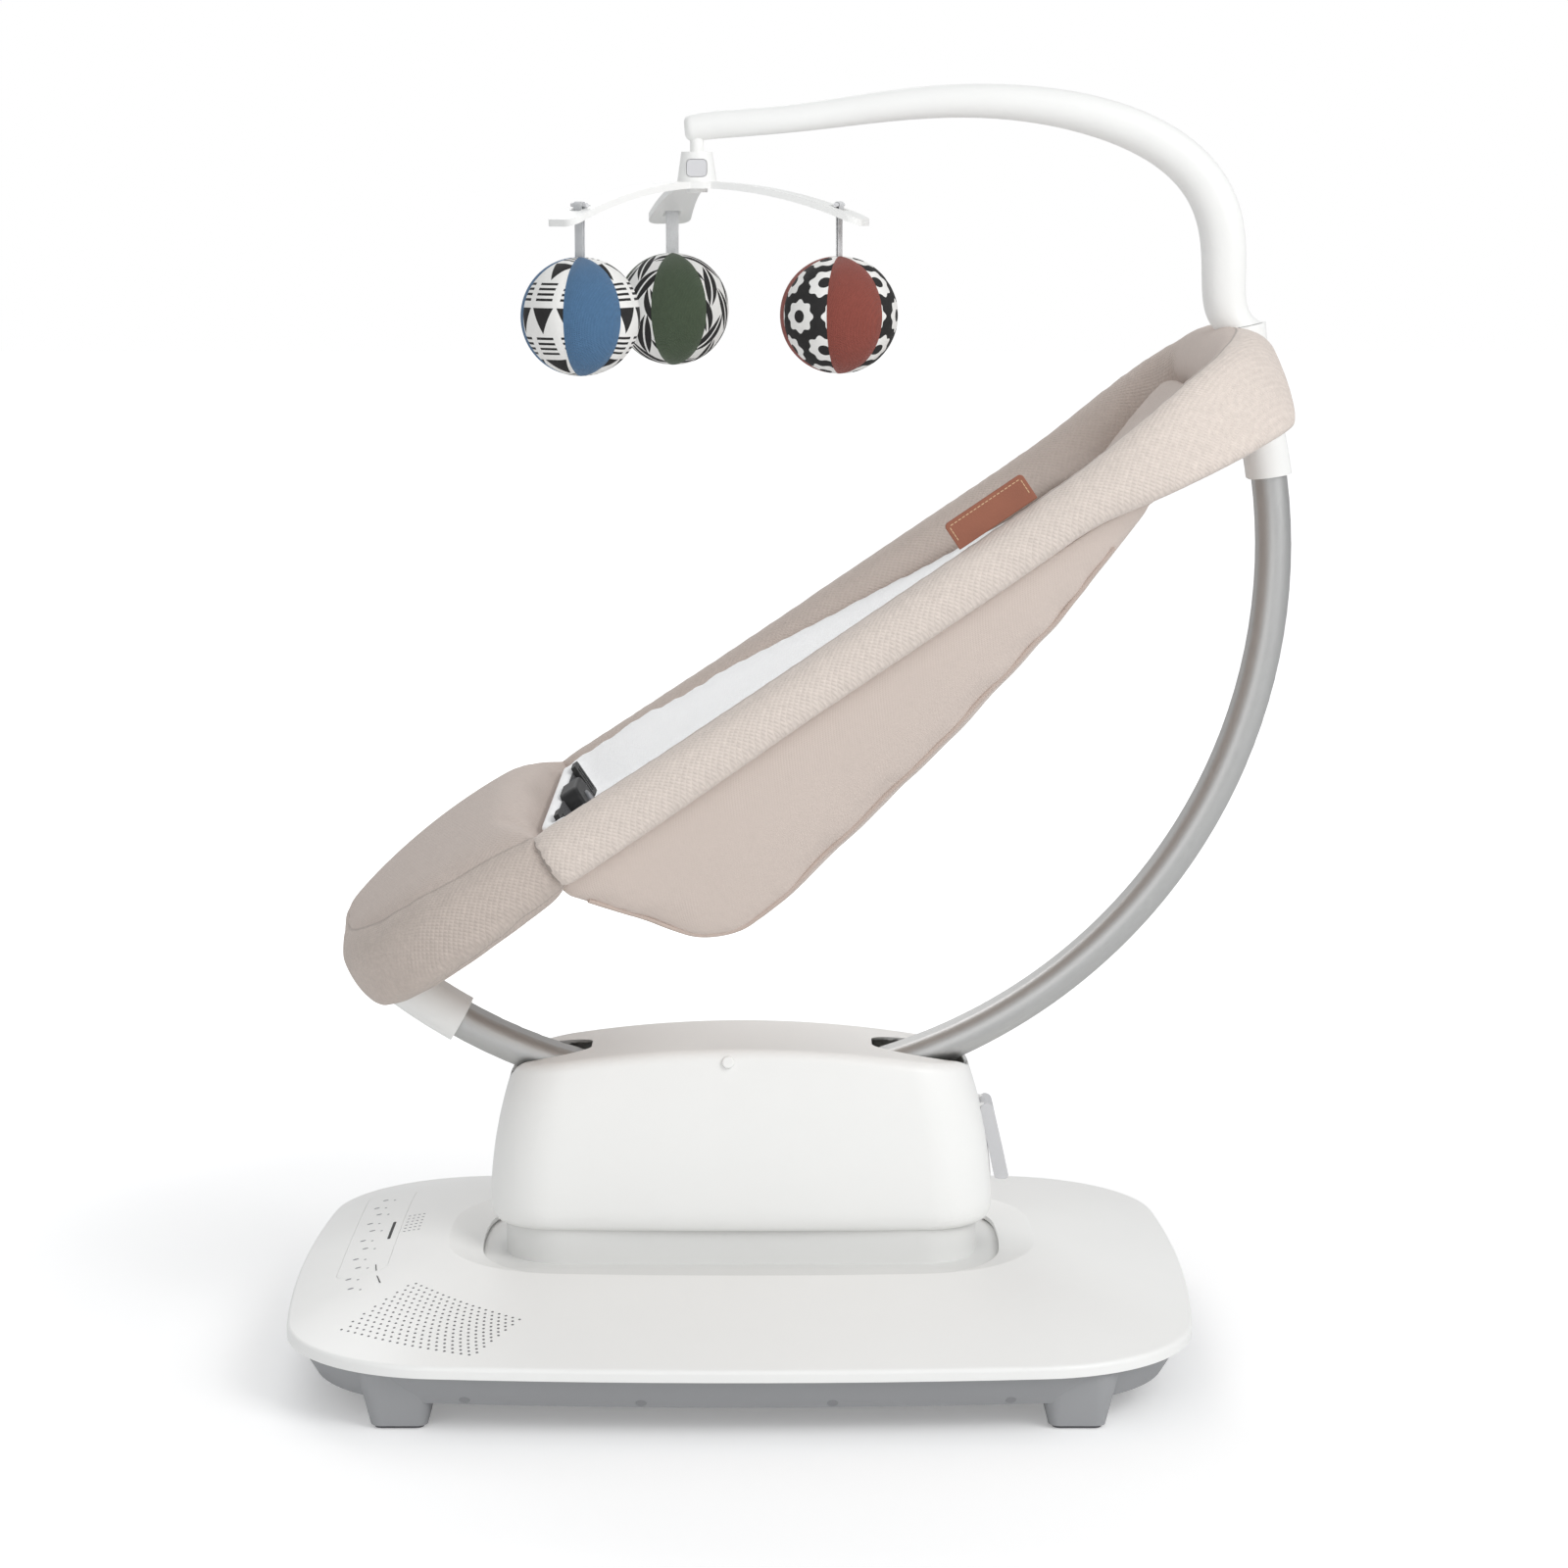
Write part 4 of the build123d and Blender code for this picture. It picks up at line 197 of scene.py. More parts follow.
for name, (place, aim, size, watts) in LAMPS.items():
    light = bpy.data.lights.new(name, "AREA")
    light.size = size
    light.energy = watts
    lamp = link(name, light)
    lamp.location = place
    lamp.rotation_euler = (Vector(aim) - Vector(place)).to_track_quat("-Z", "Y").to_euler()

bm = bmesh.new()
bmesh.ops.create_grid(bm, x_segments=2, y_segments=2, size=16)
floor = link_mesh(bm, "floor")
floor.location.z = -FLOOR_DROP
paper, tree, shader = start("paper_sweep")
away = add(tree, "VectorMath", operation="LENGTH")
put(tree, away.inputs[0], add(tree, "TexCoord").outputs["Object"])
fade = add(
    tree, "MapRange", Value=away.outputs["Value"],
    From_Min=GLOW_FROM, From_Max=GLOW_TO, To_Min=NEAR_GLOW, To_Max=FAR_GLOW,
)
seen = add(tree, "LightPath").outputs["Is Camera Ray"]
fill(
    tree, shader, Base_Color=(0.86, 0.86, 0.86, 1), Roughness=0.9, Specular_IOR_Level=0.1,
    Emission_Color=PURE_WHITE, Emission_Strength=sums(tree, "MULTIPLY", seen, fade.outputs["Result"]),
)
coat(floor, paper)
print("studio:", len(LAMPS), "lamps,", floor.name)

# %% [markdown]
# ## Shared surface effects
#
# Several finishes need the same effect at another scale, so each effect is a node group with named sockets.
# *Moulded grain* is the faint orange-peel of injection-moulded plastic, with a *Cloud* output for the slow
# change of shade that every real surface has.

# %% Moulded grain group


def new_group(name, inputs, outputs):
    """Empty shader group with number inputs {name: default} and number outputs."""
    group = bpy.data.node_groups.new(name, "ShaderNodeTree")
    socket = partial(group.interface.new_socket, socket_type="NodeSocketFloat")
    for label, default in inputs.items():
        socket(label, in_out="INPUT").default_value = default
    for label in outputs:
        socket(label, in_out="OUTPUT")
    return group, group.nodes.new("NodeGroupInput").outputs, group.nodes.new("NodeGroupOutput")


def noise(tree, where, scale, detail, rough=0.5):
    """Noise texture's value."""
    return add(tree, "TexNoise", Vector=where, Scale=scale, Detail=detail, Roughness=rough).outputs["Fac"]


grain_inputs = {"Scale": 900.0, "Cloud Scale": 7.0}
grain_group, given, result = new_group("moulded_grain", grain_inputs, ("Height", "Cloud"))
here = add(grain_group, "TexCoord").outputs["Object"]
fill(
    grain_group, result,
    Height=noise(grain_group, here, given["Scale"], 2.0),
    Cloud=noise(grain_group, here, given["Cloud Scale"], 3.0, 0.55),
)
print("group", grain_group.name)

# %% [markdown]
# *Knit* is the slanting stitch of the padded cover: two sets of rounded ridges that cross, with loose lint on
# them. It is turned to the seat's lean, so that the stitches run along the rim. *Heather* is the fine speckle
# of mixed yarn.

# %% Knit group
LEAN = math.radians(34.1)
RIDGES_A, RIDGES_B = 330, 210  # ridges per metre
knit_group, given, result = new_group("knit", {"Pitch": 1.0, "Fuzz": 0.25}, ("Height", "Heather", "Cloud"))
knit = partial(sums, knit_group)
here = add(knit_group, "TexCoord").outputs["Object"]
turned = add(knit_group, "Mapping", Vector=here, Rotation=(0, LEAN, 0)).outputs[0]
axes = add(knit_group, "SeparateXYZ", Vector=turned).outputs


def ridges(value, per_metre):
    """Rounded ridges along one direction, 0 to 1."""
    turns = knit("MULTIPLY", knit("MULTIPLY", value, per_metre * math.pi), given["Pitch"])
    return knit("ABSOLUTE", knit("SINE", turns))


slant = knit("ADD", axes["Z"], axes["Y"])
crossed = knit(
    "MULTIPLY",
    ridges(knit("ADD", axes["X"], slant), RIDGES_A),
    ridges(knit("SUBTRACT", axes["X"], slant), RIDGES_B),
)
lint = noise(knit_group, turned, 620.0, 3.0, 0.65)
fill(
    knit_group, result,
    Height=knit("MULTIPLY_ADD", lint, given["Fuzz"], crossed),
    Heather=noise(knit_group, turned, 260.0, 4.0, 0.7),
    Cloud=noise(knit_group, turned, 9.0, 3.0, 0.6),
)
print("group", knit_group.name)

# %% [markdown]
# ## Finish builders
#
# Three builders cover most of the swing. Plastic is one colour with a slow change of shade, a roughness that
# follows it, and a fine grain in the bump. Metal adds the drawn streaks of a tube. Cloth takes its stitch
# from the knit group, with heathered yarn: two near colours, mixed by a fine noise.

# %% Finish builders


def shade(colour, factor):
    """The same colour, lighter or darker."""
    return tuple(min(1.0, max(0.0, c * factor)) for c in colour[:3]) + (1.0,)


def srgb(r, g, b):
    """A colour as seen on a screen, 0 to 255, as the linear value that a shader takes."""
    parts = (v / 255 for v in (r, g, b))
    return tuple(((v + 0.055) / 1.055) ** 2.4 if v > 0.04 else v / 12.92 for v in parts) + (1.0,)


def use_group(tree, group, **values):
    """Places a shared effect in a material with its own values; its outputs."""
    node = add(tree, "Group", node_tree=group)
    fill(tree, node, **values)
    return node.outputs


def blend_colours(tree, factor, low, high, way="MIX"):
    """Colour between two, by a factor that changes over the surface."""
    mix = add(tree, "Mix", data_type="RGBA", blend_type=way)
    fill(tree, mix, Factor=factor, A=low, B=high)
    return mix.outputs["Result"]


def tones(tree, factor, colour, low, high):
    """One colour between a darker and a lighter tone of it."""
    return blend_colours(tree, factor, shade(colour, low), shade(colour, high))


def spread(tree, factor, low, high, first=0.0, last=1.0):
    """A value between two limits, for a factor that runs from first to last."""
    limits = {"From_Min": first, "From_Max": last, "To_Min": low, "To_Max": high}
    return add(tree, "MapRange", Value=factor, **limits).outputs["Result"]


def bump(tree, height, strength, distance):
    """Normal that shows a height."""
    return add(tree, "Bump", Height=height, Strength=strength, Distance=distance).outputs[0]


def plastic(name, colour, rough=0.38, grain=900.0, depth=0.06):
    """Moulded plastic with a fine grain."""
    material, tree, shader = start(name)
    effect = use_group(tree, grain_group, Scale=grain, Cloud_Scale=6.0)
    fill(
        tree, shader,
        Base_Color=tones(tree, effect["Cloud"], colour, 0.965, 1.02),
        Roughness=spread(tree, effect["Cloud"], rough - 0.05, rough + 0.05),
        Normal=bump(tree, effect["Height"], depth, 0.0004),
    )
    return material


def metal(name, colour, rough=0.3, stretch=(1, 1, 40)):
    """Drawn or ground metal with fine streaks."""
    material, tree, shader = start(name)
    here = add(tree, "TexCoord").outputs["Object"]
    streak = noise(tree, add(tree, "Mapping", Vector=here, Scale=stretch).outputs[0], 60.0, 4.0, 0.6)
    fill(
        tree, shader, Metallic=1.0,
        Base_Color=tones(tree, streak, colour, 0.93, 1.05),
        Roughness=spread(tree, streak, rough - 0.07, rough + 0.07),
    )
    return material


def cloth_finish(tree, shader, effect, colour, depth=0.5, rough=0.9):
    """What every cloth shares: slow change of shade, uneven roughness, the stitch as bump, a little sheen."""
    cloud = tones(tree, effect["Cloud"], PURE_WHITE, 0.93, 1.0)
    fill(
        tree, shader, Sheen_Weight=0.15, Specular_IOR_Level=0.2,
        Base_Color=blend_colours(tree, 1.0, colour, cloud, "MULTIPLY"),
        Roughness=spread(tree, effect["Heather"], rough - 0.06, rough + 0.06),
        Normal=bump(tree, effect["Height"], depth, 0.0008),
    )


def cloth(name, colour, pitch=1.0, depth=0.5, heather=0.1, fuzz=0.25, rough=0.9):
    """Knitted or woven cloth of heathered yarn."""
    material, tree, shader = start(name)
    effect = use_group(tree, knit_group, Pitch=pitch, Fuzz=fuzz)
    yarn = tones(tree, effect["Heather"], colour, 1 - heather, 1 + heather)
    cloth_finish(tree, shader, effect, yarn, depth, rough)
    return material


print("builders: plastic, metal, cloth")

# %% [markdown]
# ## Finishes of the rigid pieces
#
# Each CAD node has a material slot in the record, so one table of finishes by slot dresses all of them. Only
# the sliding skirt has a finish of its own: the same white plastic, a shade darker than the tower's, which is
# painted shade for the shade that falls under the tower.

# %% Finishes
finish = {
    "white_plastic": plastic("white_satin_plastic", srgb(246, 246, 244), 0.42),
    "grey_plastic": plastic("grey_tray_plastic", srgb(163, 164, 166), 0.55, 700.0, 0.15),
    "lever_grey": plastic("lever_plastic", srgb(203, 203, 205), 0.5, 700.0, 0.1),
    "rubber_pad": plastic("pad_rubber", srgb(105, 105, 108), 0.8, 1500.0, 0.3),
    "bright_steel": metal("ground_steel", srgb(205, 205, 207), 0.25),
    "rail_aluminium": metal("satin_rail", srgb(196, 196, 195), 0.47, (3, 30, 3)),
    "frame_tube": metal("frame_tube", srgb(120, 120, 122), 0.45),
    "webbing": cloth("harness_webbing", srgb(56, 56, 59), 1.6, 0.6, 0.2),
    "black_plastic": plastic("black_plastic", srgb(22, 22, 23), 0.6),
    "button_grey": plastic("button_plastic", srgb(120, 120, 124), 0.45),
    "nylon": plastic("nylon", srgb(226, 224, 214), 0.5),
    "circuit_board": plastic("circuit_board", srgb(52, 108, 70), 0.5),
    "clip_grey": plastic("clip_plastic", srgb(216, 216, 218), 0.4),
    "ribbon_grey": cloth("grey_ribbon", srgb(222, 223, 224), 2.0, 0.4, 0.06),
}
slot_of = {entry["node"]: entry["material_slot"] for entry in frame["record"]["subparts"]}
# The skirt's darker white is painted shade for the shade under the tower.
own_finish = {"sliding_skirt": plastic("skirt_painted_shade_plastic", srgb(231, 231, 229), 0.5)}
for node, obj in frame["nodes"].items():
    material = own_finish.get(node, finish.get(slot_of[node]))
    if material:
        obj.data.materials.clear()
        coat(obj, material)
print("finishes:", len(finish) + len(own_finish))

# %% [markdown]
# ## The seat's own frame
#
# The seat leans 34 degrees, so it is easiest to model its padding flat and turn it at the end: x runs from
# foot to head, y across, and z square to the rim. The rim's outline is a rounded rectangle with bowed sides,
# and `inset_at` says how far inside it a point lies. The same measure later finds the seams.

# %% Seat frame and outline
SEAT = Matrix.Translation((-0.002, 0, 0.484)) @ Matrix.Rotation(-LEAN, 4, "Y")
SEAT_BACK = SEAT.inverted()
HALF = 0.373  # half the seat's length
FOOT_EDGE = -0.197  # where the opening ends and the foot cover begins
END_CENTRE, END_RADIUS = -0.0629, 0.4359
SIDE_CENTRE, SIDE_RADIUS = -6.832, 7.018
CORNER_S, CORNER_Y, CORNER = 0.2486, 0.0635, 0.118
CORNER_FROM, CORNER_TO = 11.5, 87.9  # degrees
OUTLINE_POINTS = 168


def inset_at(s, y):
    """Distance inside the rim's outline of two end arcs, two side arcs and four corner arcs."""
    s, y = np.abs(s), np.abs(y)
    to_end = END_RADIUS - np.hypot(s - END_CENTRE, y)
    to_side = SIDE_RADIUS - np.hypot(s, y - SIDE_CENTRE)
    from_corner = np.hypot(s - CORNER_S, y - CORNER_Y)
    turn = np.degrees(np.arctan2(y - CORNER_Y, s - CORNER_S))
    in_corner = (turn > CORNER_FROM) & (turn < CORNER_TO)
    return np.where(in_corner, CORNER - from_corner, np.minimum(to_end, to_side))


def outline_radius(angle, inset=0.0):
    """How far the outline lies from the middle of the seat in one direction, by halving steps."""
    low, high = 0.05, 0.6
    for _ in range(30):
        mid = (low + high) / 2
        if inset_at(mid * math.cos(angle), mid * math.sin(angle)) > inset:
            low = mid
        else:
            high = mid
    return low


def rim_plate(bm, inset):
    """One face with the rim's outline, in the seat's own frame."""
    for v in bmesh.ops.create_circle(bm, cap_ends=True, radius=1.0, segments=OUTLINE_POINTS)["verts"]:
        angle = math.atan2(v.co.y, v.co.x)
        reach = outline_radius(angle, inset)
        v.co = (reach * math.cos(angle), reach * math.sin(angle), 0)


def into_scene(bm, name, place=SEAT):
    """Moves a finished bmesh to its place and turns it into an object."""
    bmesh.ops.transform(bm, matrix=place, verts=bm.verts)
    bmesh.ops.recalc_face_normals(bm, faces=bm.faces)
    return link_mesh(bm, name)


print("outline: %.0f mm long, %.0f mm wide" % (2000 * outline_radius(0), 2000 * outline_radius(math.pi / 2)))

# %% [markdown]
# ## Padding
#
# A padded cover is foam in a sewn skin, so it swells between its seams. The plain form is remeshed to even
# squares, Blender's cloth blows it up a little with inner pressure, and no point may move further than a cap.
# A few rounds of smoothing settle the skin. Seams and sewn lines come afterwards, because the remesh would
# wipe them out.

# %% Cloth simulation for padding
VOXEL = 0.005
FIRM, SLACK = 4.0, 2.0  # pressure inside thick padding and inside thin cloth
CLOTH_FRAMES = 20
CLOTH = {
    "quality": 4, "mass": 0.25, "use_pressure": True,
    "tension_stiffness": 12, "compression_stiffness": 12, "bending_stiffness": 0.4,
}


def mesh_points(mesh):
    """Vertex positions as an array."""
    points = np.empty(len(mesh.vertices) * 3)
    mesh.vertices.foreach_get("co", points)
    return points.reshape(-1, 3)


def set_points(mesh, points):
    """Writes vertex positions back."""
    mesh.vertices.foreach_set("co", points.astype(np.float32).ravel())
    mesh.update()


def evaluated(obj):
    """The object as its modifiers leave it."""
    return obj.evaluated_get(bpy.context.evaluated_depsgraph_get())


def settle(obj, rounds):
    """Smooths a skin a little."""
    bm = bmesh.new()
    bm.from_mesh(obj.data)
    every_way = {"use_axis_x": True, "use_axis_y": True, "use_axis_z": True}
    for _ in range(rounds):
        bmesh.ops.smooth_vert(bm, verts=bm.verts, factor=0.5, **every_way)
    bm.to_mesh(obj.data)
    bm.free()


def puff(obj, pressure, cap, voxel=VOXEL, rounds=4):
    """Remesh, blow up as cloth, cap the move, settle."""
    modify(obj, "REMESH", mode="VOXEL", voxel_size=voxel)
    plain, obj.data = obj.data, bpy.data.meshes.new_from_object(evaluated(obj))
    obj.modifiers.clear()
    bpy.data.meshes.remove(plain)
    obj.data.name = obj.name
    settle(obj, rounds)
    before = mesh_points(obj.data)
    skin = modify(obj, "CLOTH")
    for key, value in CLOTH.items():
        setattr(skin.settings, key, value)
    skin.settings.uniform_pressure_force = pressure
    skin.settings.effector_weights.gravity = 0
    skin.collision_settings.use_collision = False
    skin.collision_settings.use_self_collision = False
    for step in range(1, CLOTH_FRAMES + 1):
        bpy.context.scene.frame_set(step)
    after = mesh_points(evaluated(obj).data)
    obj.modifiers.clear()
    bpy.context.scene.frame_set(1)
    move = after - before
    size = np.maximum(np.linalg.norm(move, axis=1, keepdims=True), 1e-9)
    set_points(obj.data, before + move / size * cap * np.tanh(size / cap))
    settle(obj, 3)
    print(obj.name, "puffed by", round(float(size.mean()) * 1000, 1), "mm before the cap")


print("cloth: %d frames for each skin" % CLOTH_FRAMES)

# %% [markdown]
# After the swelling a skin is dressed in the seat's own frame: `press_line` sews a line into it, `note`
# stores a number on every vertex for the shader, and `refine` adds a live subdivision. The plain shapes
# before it share a few steps too: extrude, cut along a plane, round the edges.

# %% Shared steps of the soft pieces
ROUND = {"profile": 0.5, "material": -1}
SHARP = 0.6  # radians between two faces
BAND_TOP = -0.010  # edges above this level belong to a band's top
SHRINK = 0.003  # plain shapes are this much smaller, because they swell later


def seat_points(mesh):
    """Vertex positions in the seat's own frame."""
    turn = np.array(SEAT_BACK)
    return mesh_points(mesh) @ turn[:3, :3].T + turn[:3, 3]


def put_seat_points(mesh, points):
    """Writes positions given in the seat's own frame."""
    turn = np.array(SEAT)
    set_points(mesh, points @ turn[:3, :3].T + turn[:3, 3])


def ease(t):
    """Soft step from 0 to 1."""
    t = np.clip(t, 0, 1)
    return t * t * (3 - 2 * t)


def note(mesh, name, values):
    """Stores one number per vertex for the shader."""
    stored = mesh.attributes.new(name, "FLOAT", "POINT").data
    stored.foreach_set("value", np.asarray(values, dtype=np.float32))


def press_line(obj, distance, depth, width):
    """Presses a sewn line into a skin, along its normals, by the distance of each vertex from the line."""
    normals = np.empty(len(obj.data.vertices) * 3)
    obj.data.vertices.foreach_get("normal", normals)
    fall = depth * np.exp(-((distance / width) ** 2))
    set_points(obj.data, mesh_points(obj.data) - normals.reshape(-1, 3) * fall[:, None])


def refine(obj):
    """Live subdivision, the same in the view and the render, with smooth shading."""
    modify(obj, "SUBSURF", levels=1, render_levels=1)
    obj.data.shade_smooth()


def extruded(bm):
    """Extrudes every face; the new vertices."""
    made = bmesh.ops.extrude_face_region(bm, geom=bm.faces[:], use_keep_orig=True)["geom"]
    return [g for g in made if isinstance(g, bmesh.types.BMVert)]


def slice_at(bm, point, normal, **more):
    """Cuts everything along a plane."""
    everything = bm.verts[:] + bm.edges[:] + bm.faces[:]
    bmesh.ops.bisect_plane(bm, geom=everything, plane_co=point, plane_no=normal, **more)


def trim(bm, point, normal):
    """Cuts off what lies beyond a plane and closes the cut."""
    slice_at(bm, point, normal, clear_outer=True)
    bmesh.ops.holes_fill(bm, edges=[e for e in bm.edges if e.is_boundary])


def round_off(bm, edges, offset, segments):
    """Bevel with a round profile."""
    bmesh.ops.bevel(bm, geom=edges, offset=offset, segments=segments, affect="EDGES", **ROUND)


def make_band(bm, low_edge, top_round, low_round, is_joint=lambda edge: False):
    """Extrudes a flat face down to a low edge that varies along the seat; rounds all but a joint's edges."""
    for v in bm.verts:
        v.co.z = -SHRINK
    for v in extruded(bm):
        v.co.z = low_edge(v.co.x) + SHRINK
    bmesh.ops.recalc_face_normals(bm, faces=bm.faces)
    sharp = [e for e in bm.edges if e.calc_face_angle(0) > SHARP and not is_joint(e)]
    top = [e for e in sharp if all(v.co.z > BAND_TOP for v in e.verts)]
    low = [e for e in sharp if all(v.co.z < BAND_TOP for v in e.verts)]
    round_off(bm, top, top_round, 4)
    round_off(bm, low, low_round, 2)


print("soft pieces start %.0f mm smaller" % (SHRINK * 1000))

# %% [markdown]
# ## Padded rim
#
# The rim is a soft band round a steel tube. It starts as one flat face with the seat's outline. An inset
# leaves a ring, an extrusion gives it depth, and plane cuts shape its sloping head end and the straight joint
# to the foot cover. The band is deeper at the head, so its lower edge is drawn down there.

# %% Padded rim
RIM, RIM_HEAD = 0.036, 0.060
BAND = 0.046
HEAD_DROP, DROP_FROM, DROP_LONG = 0.027, 0.205, 0.176
RIM_ROUND = (0.014, 0.005)  # at the top and at the lower edge
RIM_SWELL = 0.0045
LAP = 0.003  # how far rim and foot cover reach into each other
HEAD_CUTS = (  # point behind the head's end, and normal
    ((0.024, 0), (0.55, 0, 0.83)),
    ((0.001, -0.020), (0.90, 0, -0.436)),
    ((0.015, -0.054), (0.8, 0, -0.6)),
)

bm = bmesh.new()
rim_plate(bm, SHRINK)
bmesh.ops.inset_region(
    bm, faces=bm.faces[:], thickness=RIM - 2 * SHRINK, use_even_offset=True, use_boundary=True,
)
middle = max(bm.faces, key=lambda f: f.calc_area())
for v in middle.verts:
    v.co.x = min(v.co.x, HALF - RIM_HEAD + SHRINK)
bmesh.ops.delete(bm, geom=[middle], context="FACES_ONLY")
make_band(bm, lambda s: -BAND - HEAD_DROP * max(0.0, (s - DROP_FROM) / DROP_LONG), *RIM_ROUND)
trim(bm, (FOOT_EDGE - LAP, 0, 0), (-1, 0, 0))
for (back, level), normal in HEAD_CUTS:
    trim(bm, (HALF - back - SHRINK, 0, level), normal)
padded_rim = into_scene(bm, "padded_rim")
puff(padded_rim, FIRM, RIM_SWELL)
print("padded rim:", len(padded_rim.data.vertices), "vertices")

# %% [markdown]
# The rim's top is lifted a little towards the head, to clear the tube inside. The band is sewn from a pale
# outer strip and a darker inner one, which meet in a seam along the crest. The seam is pressed into the skin,
# and every vertex keeps its distance from it, so that the cloth can change colour exactly there. A distance
# of nought along the joint to the foot cover draws the same dark line down that joint.

# %% Crest seam of the rim
LIFT, LIFT_FROM, LIFT_LONG, LIFT_DEEP = 0.008, 0.20, 0.12, 0.045
CREST_INSET, CREST_DEEP = 0.0175, 0.0011
SEAM_LEVEL, SEAM_WIDTH = -0.022, 0.0022
JOINT_LINE = 0.0012
local = seat_points(padded_rim.data)
near_top = np.clip((local[:, 2] + LIFT_DEEP) / LIFT_DEEP, 0, 1)
local[:, 2] += LIFT * ease((local[:, 0] - LIFT_FROM) / LIFT_LONG) * near_top
put_seat_points(padded_rim.data, local)
seam = inset_at(local[:, 0], local[:, 1]) - CREST_INSET
press_line(padded_rim, np.where(local[:, 2] > SEAM_LEVEL, seam, 1.0), CREST_DEEP, SEAM_WIDTH)
note(padded_rim.data, "seam", np.where(local[:, 0] < FOOT_EDGE + JOINT_LINE, 0.0, seam))
refine(padded_rim)
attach(padded_rim, "seat")
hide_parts("rim_cover")
print("crest seam %.1f mm inside the outline" % (CREST_INSET * 1000))

# %% [markdown]
# ## Foot cover
#
# Past the opening the whole foot end is one closed pad, darker than the rim's outside. It begins as the same
# outline face, cut off at the joint, and is extruded down. After the swelling its top is raised into a dome
# like the side of a barrel: an arc along the seat, whose height falls away to both sides. The pad reaches a
# little into the rim's end, so that the two skins meet in one line.

# %% Foot cover
DOME_RISE, DOME_BACK = 0.0195, 0.123
DOME_LONG = (DOME_BACK**2 + DOME_RISE**2) / (2 * DOME_RISE)
DOME_WIDE, DOME_REACH = 0.80, 0.14
DOME_DEEP = 0.026  # how far down the skin follows the dome
FOOT_DROP, FOOT_LONG = 0.010, 0.181
FOOT_ROUND, FOOT_SWELL = (0.012, 0.006), 0.006
FOOT_INSET, TIP_INSET, TIP_LONG = 0.0165, 0.0065, 0.10
SEAM_START, SEAM_DEEP = 0.004, 0.0012
AT_JOINT = 0.002  # edges this far past the opening belong to the joint


def dome(s, y):
    """Rise of the foot cover's top over a plain flat one."""
    from_crown = np.clip(s + HALF - DOME_BACK, -DOME_REACH, DOME_REACH)
    along = DOME_RISE - DOME_LONG + np.sqrt(DOME_LONG**2 - from_crown**2)
    return np.maximum(np.sqrt((DOME_WIDE + along) ** 2 - y**2) - DOME_WIDE, 0)


bm = bmesh.new()
rim_plate(bm, SHRINK)
trim(bm, (FOOT_EDGE + LAP, 0, 0), (1, 0, 0))
make_band(
    bm, lambda s: -BAND - FOOT_DROP * (FOOT_EDGE - s) / FOOT_LONG, *FOOT_ROUND,
    is_joint=lambda edge: all(v.co.x > FOOT_EDGE + AT_JOINT for v in edge.verts),
)
foot_pad = into_scene(bm, "foot_pad")
puff(foot_pad, FIRM, FOOT_SWELL)
local = seat_points(foot_pad.data)
local[:, 2] += dome(local[:, 0], local[:, 1]) * ease((local[:, 2] + DOME_DEEP) / DOME_DEEP)
put_seat_points(foot_pad.data, local)
to_tip = np.clip((FOOT_EDGE - local[:, 0]) / TIP_LONG, 0, 1)
seam = inset_at(local[:, 0], local[:, 1]) - FOOT_INSET - TIP_INSET * to_tip
sewn = (local[:, 2] > SEAM_LEVEL) & (local[:, 0] < FOOT_EDGE - SEAM_START)
press_line(foot_pad, np.where(sewn, seam, 1.0), SEAM_DEEP, SEAM_WIDTH)
note(foot_pad.data, "seam", seam)
refine(foot_pad)
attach(foot_pad, "seat")
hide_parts("foot_cover")
print("foot pad:", len(foot_pad.data.vertices), "vertices")

# %% [markdown]
# ## Two-tone cover cloth
#
# One cloth serves rim and foot: a heathered knit whose colour is picked by the stored distance from the seam,
# with a thin dark thread line in the seam itself.

# %% Cover cloth
BEIGE, TAUPE = srgb(228, 216, 207), srgb(207, 193, 184)
SEAM_BLUR, THREAD = 0.0004, 0.0012


def two_tone(name, outer, inner, stitch):
    """Knit that changes colour at the seam."""
    material, tree, shader = start(name)
    effect = use_group(tree, knit_group, Pitch=1.0, Fuzz=0.3)
    seam = add(tree, "Attribute", attribute_name="seam").outputs["Fac"]
    side = spread(tree, seam, 0.0, 1.0, -SEAM_BLUR, SEAM_BLUR)
    pale = tones(tree, effect["Heather"], outer, 0.80, 1.15)
    dark = tones(tree, effect["Heather"], inner, 0.88, 1.10)
    line = spread(tree, sums(tree, "ABSOLUTE", seam), stitch, 1.0, 0.0, THREAD)
    sewn = blend_colours(tree, line, shade(inner, 0.35), blend_colours(tree, side, pale, dark))
    cloth_finish(tree, shader, effect, sewn)
    return material


coat(padded_rim, two_tone("rim_knit", BEIGE, TAUPE, 0.4))
coat(foot_pad, two_tone("foot_knit", srgb(206, 193, 184), TAUPE, 0.62))
print("cover cloth on", padded_rim.name, "and", foot_pad.name)

# %% [markdown]
# ## Sling
#
# Under the rim hangs a sling of smooth beige cloth, cut as two side panels and one long belly panel. It is
# modelled as a closed plug: a side view of a few points, rounded by a vertex bevel and extruded across,
# narrower towards the bottom. The plug is swollen a little as cloth, cut open along the rim's underside, kept
# below the liner at the head, and given the cloth's thickness.

